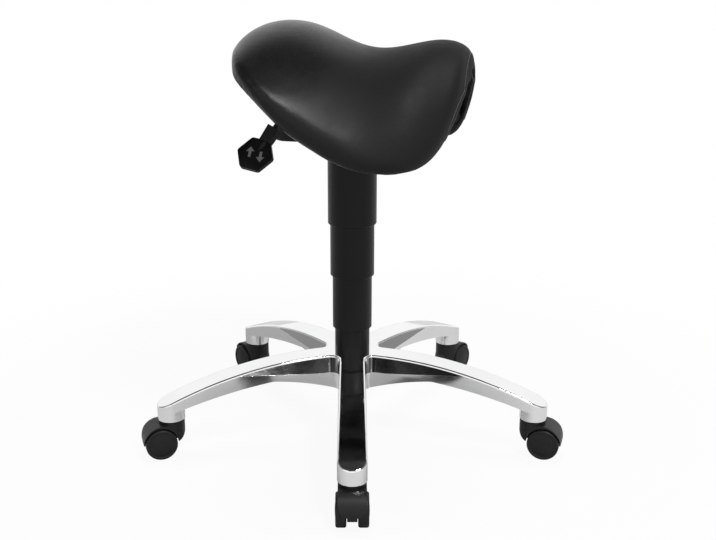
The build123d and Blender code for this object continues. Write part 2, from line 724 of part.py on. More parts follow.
# Tilt mechanism: cone socket welded into a pressed tray, seat plate rocking on two pins
with BuildPart() as cone_socket:
    with BuildSketch(Plane.XZ):
        floor_z = HOUSING_BOTTOM + SHEET + FIT
        top_z = CYLINDER_TOP - COVER_AIR
        Polygon(
            (taper_outer(SOCKET_BOTTOM) + FIT, SOCKET_BOTTOM),
            (SOCKET_RADIUS, SOCKET_BOTTOM),
            (SOCKET_RADIUS, floor_z),
            (SOCKET_FLANGE, floor_z),
            (SOCKET_FLANGE, floor_z + SOCKET_FLANGE_HEIGHT),
            (SOCKET_RADIUS, floor_z + SOCKET_FLANGE_HEIGHT),
            (SOCKET_RADIUS, top_z),
            (taper_outer(top_z) + FIT, top_z),
            align=None,
        )
    revolve(axis=Axis.Z)
cone_socket.part.label = "cone_socket"
export_step(cone_socket.part, "parts/cone_socket.step")

HOUSING_MID = (HOUSING_REAR - HOUSING_FRONT) / 2
HOUSING_LONG = HOUSING_REAR + HOUSING_FRONT
LEVER_PLANE = Plane(
    origin=(0, 0, 0),
    x_dir=polar(1, LEVER_TURN),
    z_dir=polar(1, LEVER_TURN - 90),
)

with BuildPart() as tilt_housing:
    with BuildSketch(Plane.XY.offset(HOUSING_BOTTOM)):
        with Locations((0, HOUSING_MID)):
            RectangleRounded(2 * HOUSING_HALF, HOUSING_LONG, HOUSING_CORNER)
    extrude(amount=HOUSING_TOP - HOUSING_BOTTOM)
    with BuildSketch(Plane.XY.offset(HOUSING_BOTTOM + SHEET)):
        with Locations((0, HOUSING_MID)):
            RectangleRounded(2 * (HOUSING_HALF - SHEET), HOUSING_LONG - 2 * SHEET, HOUSING_CORNER - SHEET)
    extrude(amount=HOUSING_TOP - HOUSING_BOTTOM, mode=Mode.SUBTRACT)
    with BuildSketch(Plane.XY.offset(HOUSING_TOP - SHEET)):
        with Locations((0, HOUSING_REAR - SHELF_DEPTH / 2), (0, SHELF_DEPTH / 2 - HOUSING_FRONT)):
            Rectangle(2 * SHELF_HALF, SHELF_DEPTH - SHEET)
    extrude(amount=SHEET)
    with BuildSketch(Plane.XY.offset(HOUSING_BOTTOM)):
        Circle(SOCKET_RADIUS + FIT)
    extrude(amount=SHEET, mode=Mode.SUBTRACT)
    with BuildSketch(LEVER_PLANE):
        ear_low = HOUSING_BOTTOM + SHEET / 2
        Polygon(
            (SOCKET_FLANGE + FIT, ear_low),
            (SOCKET_FLANGE + FIT + LEVER_EAR_WIDTH, ear_low),
            (LEVER_PIVOT + LEVER_EAR_WIDTH / 2, LEVER_Z + LEVER_EAR_WIDTH / 2),
            (LEVER_PIVOT - LEVER_EAR_WIDTH / 2, LEVER_Z + LEVER_EAR_WIDTH / 2),
            (LEVER_PIVOT - LEVER_EAR_WIDTH / 2, CYLINDER_TOP),
            (SOCKET_FLANGE + FIT, ear_low + EAR_HALF),
            align=None,
        )
    extrude(amount=LEVER_EAR_HALF + LEVER_EAR_THICK, both=True)
    with BuildSketch(LEVER_PLANE):
        with Locations((LEVER_PIVOT, (HOUSING_BOTTOM + SHEET + LEVER_Z + LEVER_EAR_WIDTH) / 2)):
            Rectangle(2 * SOCKET_FLANGE, LEVER_Z + LEVER_EAR_WIDTH - HOUSING_BOTTOM - SHEET)
    extrude(amount=LEVER_EAR_HALF, both=True, mode=Mode.SUBTRACT)
    with BuildSketch(LEVER_PLANE):
        with Locations((LEVER_PIVOT, LEVER_Z)):
            Circle(LEVER_PIN_RADIUS + FIT)
    extrude(amount=LEVER_PIN_HALF, both=True, mode=Mode.SUBTRACT)
    with BuildSketch(Plane.YZ):
        with Locations((0, PIVOT_Z)):
            Circle(TILT_PIN_RADIUS + FIT)
    extrude(amount=2 * HOUSING_HALF, both=True, mode=Mode.SUBTRACT)
tilt_housing.part.label = "tilt_housing"
export_step(tilt_housing.part, "parts/tilt_housing.step")

with BuildPart() as tilt_pins:
    for side in (1, -1):
        with BuildSketch(Plane.YZ.offset(side * (EAR_INNER - SHEET))):
            with Locations((0, PIVOT_Z)):
                Circle(TILT_PIN_RADIUS)
        extrude(amount=side * (HOUSING_HALF - EAR_INNER + 2 * SHEET))
        with BuildSketch(Plane.YZ.offset(side * (HOUSING_HALF + FIT))):
            with Locations((0, PIVOT_Z)):
                Circle(TILT_PIN_HEAD)
        extrude(amount=side * TILT_PIN_HEAD_HEIGHT)
tilt_pins.part.label = "tilt_pins"
export_step(tilt_pins.part, "parts/tilt_pins.step")

with BuildPart() as tilt_bushes:
    for side in (1, -1):
        with BuildSketch(Plane.YZ.offset(side * (EAR_INNER - COVER_AIR))):
            with Locations((0, PIVOT_Z)):
                Circle(BUSHING_RADIUS)
                Circle(TILT_PIN_RADIUS + FIT, mode=Mode.SUBTRACT)
        extrude(amount=side * (EAR_THICK + 2 * COVER_AIR))
tilt_bushes.part.label = "tilt_bushes"
export_step(tilt_bushes.part, "parts/tilt_bushes.step")

STOP_SEATS = (HOUSING_REAR - STOP_INSET, STOP_INSET - HOUSING_FRONT)

with BuildPart() as tilt_stops:
    for seat_y in STOP_SEATS:
        reach = (abs(seat_y) + STOP_RADIUS) * math.tan(math.radians(TILT_LIMIT))
        with BuildSketch(Plane.XY.offset(HOUSING_TOP + FIT)):
            with Locations((STOP_SPREAD, seat_y), (-STOP_SPREAD, seat_y)):
                Circle(STOP_RADIUS)
        extrude(amount=PLATE_BOTTOM - reach - STOP_AIR - HOUSING_TOP - FIT)
tilt_stops.part.label = "tilt_stops"
export_step(tilt_stops.part, "parts/tilt_stops.step")

with BuildPart() as seat_plate:
    with BuildSketch(Plane.XY.offset(PLATE_BOTTOM)):
        RectangleRounded(2 * PLATE_HALF + 2 * EAR_THICK, 2 * PLATE_LONG, PLATE_CORNER)
        with GridLocations(2 * BOLT_X, 2 * BOLT_Y, 2, 2):
            Circle(BOLT_RADIUS + FIT, mode=Mode.SUBTRACT)
    extrude(amount=PLATE_THICK)
    for side in (1, -1):
        with BuildSketch(Plane.YZ.offset(side * EAR_INNER)):
            Polygon(
                (-EAR_HALF, PLATE_BOTTOM + FIT),
                (-EAR_DROP, PIVOT_Z - EAR_DROP),
                (EAR_DROP, PIVOT_Z - EAR_DROP),
                (EAR_HALF, PLATE_BOTTOM + FIT),
                align=None,
            )
            with Locations((0, PIVOT_Z)):
                Circle(BUSHING_RADIUS + RUN_FIT, mode=Mode.SUBTRACT)
        extrude(amount=side * EAR_THICK)
seat_plate.part.label = "seat_plate"
export_step(seat_plate.part, "parts/seat_plate.step")

with BuildPart() as seat_bolts:
    with BuildSketch(Plane.XY.offset(PLATE_BOTTOM - FIT - BOLT_HEAD_HEIGHT)):
        with GridLocations(2 * BOLT_X, 2 * BOLT_Y, 2, 2):
            RegularPolygon(BOLT_HEAD_RADIUS, 6)
    extrude(amount=BOLT_HEAD_HEIGHT)
    with BuildSketch(Plane.XY.offset(PLATE_BOTTOM - FIT)):
        with GridLocations(2 * BOLT_X, 2 * BOLT_Y, 2, 2):
            Circle(BOLT_RADIUS)
    extrude(amount=BOLT_LENGTH)
seat_bolts.part.label = "seat_bolts"
export_step(seat_bolts.part, "parts/seat_bolts.step")

with BuildPart() as seat_inserts:
    with BuildSketch(Plane.XY.offset(PLATE_TOP + FIT)):
        with GridLocations(2 * BOLT_X, 2 * BOLT_Y, 2, 2):
            Circle(INSERT_RADIUS)
            Circle(BOLT_RADIUS + FIT, mode=Mode.SUBTRACT)
    extrude(amount=INSERT_LENGTH)
seat_inserts.part.label = "seat_inserts"
export_step(seat_inserts.part, "parts/seat_inserts.step")

# Lever: bent rod over the valve, pivoted beside it, with a six-sided paddle
PADDLE_PLACE = Vector(PADDLE_X, PADDLE_Y, PADDLE_Z)
LEAN = math.radians(PADDLE_LEAN)
PADDLE_NORMAL = Vector(-math.cos(LEAN), 0, math.sin(LEAN))
PADDLE_FACE = Plane(origin=PADDLE_PLACE, x_dir=(0, -1, 0), z_dir=PADDLE_NORMAL)
LEVER_TAIL_POINT = Vector(polar(-LEVER_TAIL, LEVER_TURN, LEVER_Z))
LEVER_KNEE_POINT = Vector(polar(LEVER_KNEE, LEVER_TURN, LEVER_Z))
ROD_END_POINT = PADDLE_PLACE - PADDLE_NORMAL * PADDLE_THICK / 2
ROD_RUN = ROD_END_POINT - LEVER_KNEE_POINT
ROD_DIRECTION = ROD_RUN.normalized()
NECK_NORMAL = PADDLE_NORMAL - ROD_DIRECTION * PADDLE_NORMAL.dot(ROD_DIRECTION)
NECK_PLANE = Plane(origin=ROD_END_POINT, x_dir=-ROD_DIRECTION, z_dir=NECK_NORMAL)

with BuildPart() as lever_arm:
    with BuildLine() as lever_path:
        FilletPolyline(LEVER_TAIL_POINT, LEVER_KNEE_POINT, ROD_END_POINT, radius=LEVER_KNEE_BEND)
    with BuildSketch(Plane(origin=lever_path.line @ 0, z_dir=lever_path.line % 0)):
        Circle(LEVER_ROD)
    sweep()
    with BuildSketch(LEVER_PLANE):
        with Locations((LEVER_PIVOT, LEVER_Z)):
            Circle(LEVER_PIN_RADIUS + RUN_FIT)
    extrude(amount=LEVER_PIN_HALF, both=True, mode=Mode.SUBTRACT)
lever_arm.part.label = "lever_arm"
export_step(lever_arm.part, "parts/lever_arm.step")

with BuildPart() as lever_pin:
    with BuildSketch(LEVER_PLANE):
        with Locations((LEVER_PIVOT, LEVER_Z)):
            Circle(LEVER_PIN_RADIUS)
    extrude(amount=LEVER_PIN_HALF, both=True)
lever_pin.part.label = "lever_pin"
export_step(lever_pin.part, "parts/lever_pin.step")

with BuildPart() as lever_paddle:
    with BuildSketch(NECK_PLANE):
        Polygon(
            (0, -NECK_NARROW / 2),
            (NECK_LENGTH, -NECK_WIDE / 2),
            (NECK_LENGTH, NECK_WIDE / 2),
            (0, NECK_NARROW / 2),
            align=None,
        )
    extrude(amount=NECK_THICK / 2, both=True)
    with BuildSketch(PADDLE_FACE) as paddle_plan:
        RegularPolygon(PADDLE_RADIUS, PADDLE_SIDES, rotation=PADDLE_TWIST)
        fillet(paddle_plan.vertices(), PADDLE_ROUND)
    extrude(amount=PADDLE_THICK / 2, both=True)
    with BuildSketch(PADDLE_FACE.offset(PADDLE_THICK / 2 - PADDLE_DISH)):
        add(offset(paddle_plan.sketch_local, -PADDLE_RIM, mode=Mode.PRIVATE))
    extrude(amount=PADDLE_THICK, mode=Mode.SUBTRACT)
    with BuildSketch(Plane(origin=ROD_END_POINT, z_dir=-ROD_RUN)):
        Circle(LEVER_ROD + FIT)
    extrude(amount=NECK_LENGTH + NECK_THICK, mode=Mode.SUBTRACT)
lever_paddle.part.label = "lever_paddle"
export_step(lever_paddle.part, "parts/lever_paddle.step")


# Saddle seat: formulas for the crown line, plan width and lower rim at station s
def seat_half_width(s):
    if s < SEAT_WIDEST:
        share = (SEAT_WIDEST - s) / (SEAT_WIDEST + SEAT_REAR)
        return SEAT_HALF_WIDTH * math.sqrt(1 - share**REAR_FULLNESS)
    share = (s - SEAT_WIDEST) / (SEAT_FRONT - SEAT_WIDEST)
    return SEAT_HALF_WIDTH * math.sqrt(1 - share**FRONT_FULLNESS)


def crown_height(s):
    if s < CANTLE_S:
        share = (CANTLE_S - s) / (CANTLE_S + SEAT_REAR)
        return CANTLE_Z - CANTLE_ROUND * (1 - math.sqrt(1 - share**CANTLE_FULLNESS))
    if s < VALLEY_S:
        share = (s - CANTLE_S) / (VALLEY_S - CANTLE_S)
        return VALLEY_Z + (CANTLE_Z - VALLEY_Z) * (1 + math.cos(math.pi * share)) / 2
    if s < POMMEL_S:
        share = (s - VALLEY_S) / (POMMEL_S - VALLEY_S)
        return VALLEY_Z + (POMMEL_Z - VALLEY_Z) * (1 - math.cos(math.pi * share)) / 2
    share = (s - POMMEL_S) / (SEAT_FRONT - POMMEL_S)
    return POMMEL_Z - POMMEL_ROUND * (1 - math.sqrt(1 - share**2))


def rim_height(s):
    if s < RIM_KNEE_S:
        share = (RIM_KNEE_S - s) / (RIM_KNEE_S + SEAT_REAR)
        return FLAP_Z + RIM_KNEE_RISE + REAR_RIM_RISE * (1 - (1 - share) ** 2)
    if s < FLAP_S:
        return FLAP_Z + RIM_KNEE_RISE * ((FLAP_S - s) / (FLAP_S - RIM_KNEE_S)) ** REAR_RIM_EASE
    return FLAP_Z + FRONT_RIM_RISE * ((s - FLAP_S) / (SEAT_FRONT - FLAP_S)) ** FRONT_RIM_EASE


def end_share(s):
    depth = min(s + SEAT_REAR, SEAT_FRONT - s, END_ROLL)
    return math.sqrt(1 - (1 - depth / END_ROLL) ** 2)


class SeatSection:
    """Arcs of the saddle across one station; each arc is a centre, a radius and two angles."""

    def __init__(self, s):
        crown = crown_height(s)
        half = seat_half_width(s)
        rim = rim_height(s)
        roll = RIM_RADIUS * end_share(s)
        slope = math.pi / 4
        for _ in range(SLOPE_PASSES):
            edge_x = half - roll * (1 - math.sin(slope))
            edge_z = rim + roll * (1 + math.cos(slope))
            slope = FLANK_EASE * 2 * math.atan2(crown - edge_z, edge_x)
            slope = min(slope, math.radians(FLANK_LIMIT))
        bend = slope / 2
        a, b = math.sin(bend), math.sin(slope) - math.sin(bend)
        c, d = 1 - math.cos(bend), math.cos(bend) - math.cos(slope)
        drop = crown - edge_z
        crown_radius = (edge_x * d - b * drop) / (a * d - b * c)
        flank_radius = (a * drop - c * edge_x) / (a * d - b * c)
        spread = crown_radius - flank_radius
        flank_centre = (spread * math.sin(bend), crown - crown_radius + spread * math.cos(bend))
        rim_centre = (edge_x - roll * math.sin(slope), edge_z - roll * math.cos(slope))
        self.crown_arc = ((0, crown - crown_radius), crown_radius, -bend, bend)
        self.flank_arc = (flank_centre, flank_radius, bend, slope)
        self.rim_upper = (rim_centre, roll, slope, slope + math.pi / 2)
        self.rim_lower = (rim_centre, roll, slope + math.pi / 2, slope + math.pi)
        inner_x = edge_x - 2 * roll * math.sin(slope)
        inner_z = edge_z - 2 * roll * math.cos(slope)
        inner_crown = crown - PAD_THICK * end_share(s)
        rise = inner_crown - inner_z
        self.inner_radius = (inner_x**2 + rise**2) / (2 * rise)
        self.inner_centre = (0, inner_crown - self.inner_radius)
        self.inner_angle = math.atan2(inner_x, self.inner_radius - rise)


def on_arc(centre, radius, angle, side=1):
    return (side * (centre[0] + radius * math.sin(angle)), centre[1] + radius * math.cos(angle))


def draw_arc(arc, side=1, back=False):
    centre, radius, first, last = arc
    ends = (last, first) if back else (first, last)
    ThreePointArc(
        on_arc(centre, radius, ends[0], side),
        on_arc(centre, radius, (first + last) / 2, side),
        on_arc(centre, radius, ends[1], side),
    )


def stations(count, rear, front):
    middle = (front - rear) / 2
    half = (front + rear) / 2
    return [middle - half * math.cos(math.pi * (k + 0.5) / count) for k in range(count)]


with BuildPart() as seat_pad:
    for s in stations(PAD_STATIONS, SEAT_REAR, SEAT_FRONT):
        cut = SeatSection(s)
        with BuildSketch(Plane.XZ.offset(s)):
            with BuildLine():
                draw_arc(cut.crown_arc)
                for arc in (cut.flank_arc, cut.rim_upper, cut.rim_lower):
                    draw_arc(arc)
                draw_arc((cut.inner_centre, cut.inner_radius, 0, cut.inner_angle), back=True)
                draw_arc((cut.inner_centre, cut.inner_radius, -cut.inner_angle, 0), back=True)
                for arc in (cut.rim_lower, cut.rim_upper, cut.flank_arc):
                    draw_arc(arc, side=-1, back=True)
            make_face()
    loft()
seat_pad.part.label = "seat_pad"
export_step(seat_pad.part, "parts/seat_pad.step")


def shell_band(s):
    cut = SeatSection(s)
    outer = cut.inner_radius - LAYER_GAP
    inner = outer - SHELL_THICK
    reach = cut.inner_angle * SHELL_SHARE
    draw_arc((cut.inner_centre, outer, -reach, 0))
    draw_arc((cut.inner_centre, outer, 0, reach))
    Line(on_arc(cut.inner_centre, outer, reach), on_arc(cut.inner_centre, inner, reach))
    draw_arc((cut.inner_centre, inner, 0, reach), back=True)
    draw_arc((cut.inner_centre, inner, -reach, 0), back=True)
    Line(on_arc(cut.inner_centre, inner, -reach), on_arc(cut.inner_centre, outer, -reach))


def block_outline(s):
    cut = SeatSection(s)
    radius = cut.inner_radius - LAYER_GAP - SHELL_THICK / 2
    reach = math.asin(BLOCK_HALF / radius)
    shoulder = on_arc(cut.inner_centre, radius, reach)
    floor = PLATE_TOP + FIT
    draw_arc((cut.inner_centre, radius, -reach, reach))
    Line(shoulder, (BLOCK_HALF, floor))
    Line((BLOCK_HALF, floor), (-BLOCK_HALF, floor))
    Line((-BLOCK_HALF, floor), (-BLOCK_HALF, shoulder[1]))


with BuildPart() as shell_skin:
    for s in stations(SHELL_STATIONS, SHELL_REAR, SHELL_FRONT):
        with BuildSketch(Plane.XZ.offset(s)):
            with BuildLine():
                shell_band(s)
            make_face()
    loft()

with BuildPart() as shell_block:
    for s in stations(BLOCK_STATIONS, BLOCK_LONG, BLOCK_LONG):
        with BuildSketch(Plane.XZ.offset(s)):
            with BuildLine():
                block_outline(s)
            make_face()
    loft()

with BuildPart() as seat_shell:
    add(shell_skin.part)
    add(shell_block.part)
    with BuildSketch(Plane.XY.offset(PLATE_TOP + FIT)):
        with GridLocations(2 * BOLT_X, 2 * BOLT_Y, 2, 2):
            Circle(INSERT_RADIUS + FIT)
    extrude(amount=INSERT_LENGTH + LAYER_GAP, mode=Mode.SUBTRACT)
seat_shell.part.label = "seat_shell"
export_step(seat_shell.part, "parts/seat_shell.step")
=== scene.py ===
"""Looks of a saddle stool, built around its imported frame."""

from __future__ import annotations

import json
import logging
import math
from dataclasses import dataclass, field
from enum import Enum
from functools import cached_property

import bmesh
import bpy
import numpy as np
from mathutils import Matrix, Vector

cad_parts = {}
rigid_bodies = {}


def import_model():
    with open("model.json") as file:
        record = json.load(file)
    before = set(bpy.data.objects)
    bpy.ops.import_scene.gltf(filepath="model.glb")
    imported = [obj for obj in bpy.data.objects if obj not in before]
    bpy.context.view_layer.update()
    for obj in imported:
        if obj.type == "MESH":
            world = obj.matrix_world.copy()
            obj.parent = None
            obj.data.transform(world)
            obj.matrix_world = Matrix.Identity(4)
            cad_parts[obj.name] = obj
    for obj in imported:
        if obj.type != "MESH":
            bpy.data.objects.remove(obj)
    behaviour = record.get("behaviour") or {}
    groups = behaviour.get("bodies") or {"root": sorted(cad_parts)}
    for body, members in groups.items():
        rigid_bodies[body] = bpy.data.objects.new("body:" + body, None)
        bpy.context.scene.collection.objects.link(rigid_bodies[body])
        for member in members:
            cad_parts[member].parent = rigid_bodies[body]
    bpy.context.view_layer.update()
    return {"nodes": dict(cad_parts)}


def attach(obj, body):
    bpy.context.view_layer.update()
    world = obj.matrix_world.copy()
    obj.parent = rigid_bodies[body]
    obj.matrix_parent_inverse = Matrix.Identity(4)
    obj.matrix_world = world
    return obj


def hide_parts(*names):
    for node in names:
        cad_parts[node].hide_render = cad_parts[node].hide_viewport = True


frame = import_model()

MM = 0.001

logging.basicConfig(level=logging.INFO, format="%(message)s")
LOG = logging.getLogger("saddle_stool")

Colour = tuple[float, float, float]
Place = tuple[float, float, float]


class Body(Enum):
    """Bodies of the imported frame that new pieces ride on."""

    SEAT = "seat"
    LEVER = "lever"


class Slot(Enum):
    """Material slots of the record that new pieces take their finish from."""

    LEATHER = "black_leather"
    PADDLE = "paddle_plastic"


class Flow(Enum):
    """Direction in which a moulded or polished surface is streaked."""

    NONE = (1.0, 1.0, 1.0)
    UPRIGHT = (1.0, 1.0, 0.06)


# Editing helpers


def deselect_all() -> None:
    """Leave no object selected or active."""
    if bpy.context.object and bpy.context.object.mode != "OBJECT":
        bpy.ops.object.mode_set(mode="OBJECT")
    for obj in bpy.context.scene.objects:
        if obj.visible_get():
            obj.select_set(False)


def activate(obj: bpy.types.Object) -> None:
    """Select one object and make it active.

    Args:
        obj: The object that the next operators work on.
    """
    deselect_all()
    obj.select_set(True)
    bpy.context.view_layer.objects.active = obj


def name_piece(name: str) -> bpy.types.Object:
    """Name the active object and its mesh.

    Args:
        name: Piece name.

    Returns:
        The active object.
    """
    obj = bpy.context.object
    obj.name = name
    obj.data.name = name
    return obj


def apply_modifier(obj: bpy.types.Object, kind: str, **values: object) -> None:
    """Add a modifier, set its values and apply it.

    Args:
        obj: Mesh object.
        kind: Blender's modifier type.
        **values: Attributes to set before it is applied.
    """
    modifier = obj.modifiers.new(kind.lower(), kind)
    for key, value in values.items():
        setattr(modifier, key, value)
    activate(obj)
    bpy.ops.object.modifier_apply(modifier=modifier.name)


def settle(obj: bpy.types.Object) -> None:
    """Put an object's place into its mesh and leave the object at the origin.

    Args:
        obj: Mesh object.
    """
    activate(obj)
    bpy.ops.object.transform_apply(location=True, rotation=True, scale=True)


def select_whole_mesh(obj: bpy.types.Object) -> None:
    """Open an object's mesh for editing with all of it selected.

    Args:
        obj: Mesh object.
    """
    activate(obj)
    bpy.ops.object.mode_set(mode="EDIT")
    bpy.ops.mesh.select_all(action="SELECT")


def join_objects(pieces: list[bpy.types.Object]) -> None:
    """Join objects into the first one, which stays active.

    Args:
        pieces: Mesh objects.
    """
    activate(pieces[0])
    for piece in pieces:
        piece.select_set(True)
    bpy.ops.object.join()


def push_out(mesh: bpy.types.Mesh, depth: np.ndarray) -> None:
    """Move each vertex along its normal.

    Args:
        mesh: Mesh to change.
        depth: Move of each vertex in metres.
    """
    mesh.vertices.foreach_set("co", (coordinates(mesh) + normals(mesh) * depth[:, None]).ravel())
    mesh.update()


def coordinates(mesh: bpy.types.Mesh) -> np.ndarray:
    """Read a mesh's vertex places.

    Args:
        mesh: Mesh to read.

    Returns:
        One row of three numbers for each vertex.
    """
    flat = np.empty(len(mesh.vertices) * 3)
    mesh.vertices.foreach_get("co", flat)
    return flat.reshape(-1, 3)


def normals(mesh: bpy.types.Mesh) -> np.ndarray:
    """Read a mesh's vertex normals.

    Args:
        mesh: Mesh to read.

    Returns:
        One row of three numbers for each vertex.
    """
    flat = np.empty(len(mesh.vertices) * 3)
    mesh.vertex_normals.foreach_get("vector", flat)
    return flat.reshape(-1, 3)


def smoothstep(low: float, high: float, value: np.ndarray) -> np.ndarray:
    """Ease from 0 at low to 1 at high.

    Args:
        low: Value where the result is 0.
        high: Value where the result is 1.
        value: Values to ease.

    Returns:
        Eased values from 0 to 1.
    """
    share = np.clip((value - low) / (high - low), 0, 1)
    return share * share * (3 - 2 * share)


# Shader helpers


class Graph:
    """A node tree with short calls for adding and joining nodes."""

    def __init__(self, tree: bpy.types.NodeTree) -> None:
        """Hold the tree that nodes are added to."""
        self.tree = tree

    def add(self, kind: str, **values: object) -> bpy.types.Node:
        """Add one node.

        Args:
            kind: Blender's node type.
            **values: Attributes of the node.

        Returns:
            The new node.
        """
        node = self.tree.nodes.new(kind)
        for key, value in values.items():
            setattr(node, key, value)
        return node

    def join(self, source: object, target: bpy.types.NodeSocket) -> None:
        """Link an output to an input, or set the input to a plain value."""
        if isinstance(source, bpy.types.NodeSocket):
            self.tree.links.new(source, target)
        else:
            target.default_value = source

    def feed(self, node: bpy.types.Node, **inputs: object) -> bpy.types.Node:
        """Set or link a node's inputs, with spaces in socket names written as underscores.

        Args:
            node: Node whose inputs are set.
            **inputs: A value or an output socket for each named input.

        Returns:
            The same node.
        """
        for key, value in inputs.items():
            self.join(value, node.inputs[key.replace("_", " ")])
        return node

    def maths(self, operation: str, first: object, second: object = 0.0) -> bpy.types.NodeSocket:
        """Add a Math node.

        Args:
            operation: Math operation.
            first: Value or socket.
            second: Value or socket.

        Returns:
            The result socket.
        """
        node = self.add("ShaderNodeMath", operation=operation)
        for socket, value in zip(node.inputs, (first, second)):
            self.join(value, socket)
        return node.outputs[0]

    def remap(
        self, value: bpy.types.NodeSocket, source: tuple[float, float], target: tuple[float, float]
    ) -> bpy.types.NodeSocket:
        """Map a value smoothly from one range to another.

        Args:
            value: Socket to map.
            source: Range of the value.
            target: Range of the result.

        Returns:
            The result socket.
        """
        node = self.add("ShaderNodeMapRange", interpolation_type="SMOOTHSTEP")
        self.feed(node, Value=value, From_Min=source[0], From_Max=source[1])
        self.feed(node, To_Min=target[0], To_Max=target[1])
        return node.outputs["Result"]

    def tint(self, share: bpy.types.NodeSocket, first: Colour, second: Colour) -> bpy.types.NodeSocket:
        """Blend two colours.

        Args:
            share: Socket with the share of the second colour.
            first: Colour at 0.
            second: Colour at 1.

        Returns:
            The colour socket.
        """
        node = self.add("ShaderNodeMix", data_type="RGBA")
        self.join(share, node.inputs["Factor"])
        node.inputs["A"].default_value = (*first, 1.0)
        node.inputs["B"].default_value = (*second, 1.0)
        return next(s for s in node.outputs if s.type == "RGBA")

    def axes(self, vector: bpy.types.NodeSocket) -> bpy.types.NodeOutputs:
        """Split a vector.

        Args:
            vector: Vector socket.

        Returns:
            Its parts, named X, Y and Z.
        """
        node = self.add("ShaderNodeSeparateXYZ")
        self.join(vector, node.inputs[0])
        return node.outputs

    def noise(self, vector: bpy.types.NodeSocket, **inputs: object) -> bpy.types.Node:
        """Add a noise texture.

        Args:
            vector: Socket with the place in the pattern.
            **inputs: A value or an output socket for each named input.

        Returns:
            The noise node.
        """
        return self.feed(self.add("ShaderNodeTexNoise"), Vector=vector, **inputs)

    def scaled(self, value: object, factor: object) -> bpy.types.NodeSocket:
        """Multiply two values or sockets."""
        return self.maths("MULTIPLY", value, factor)


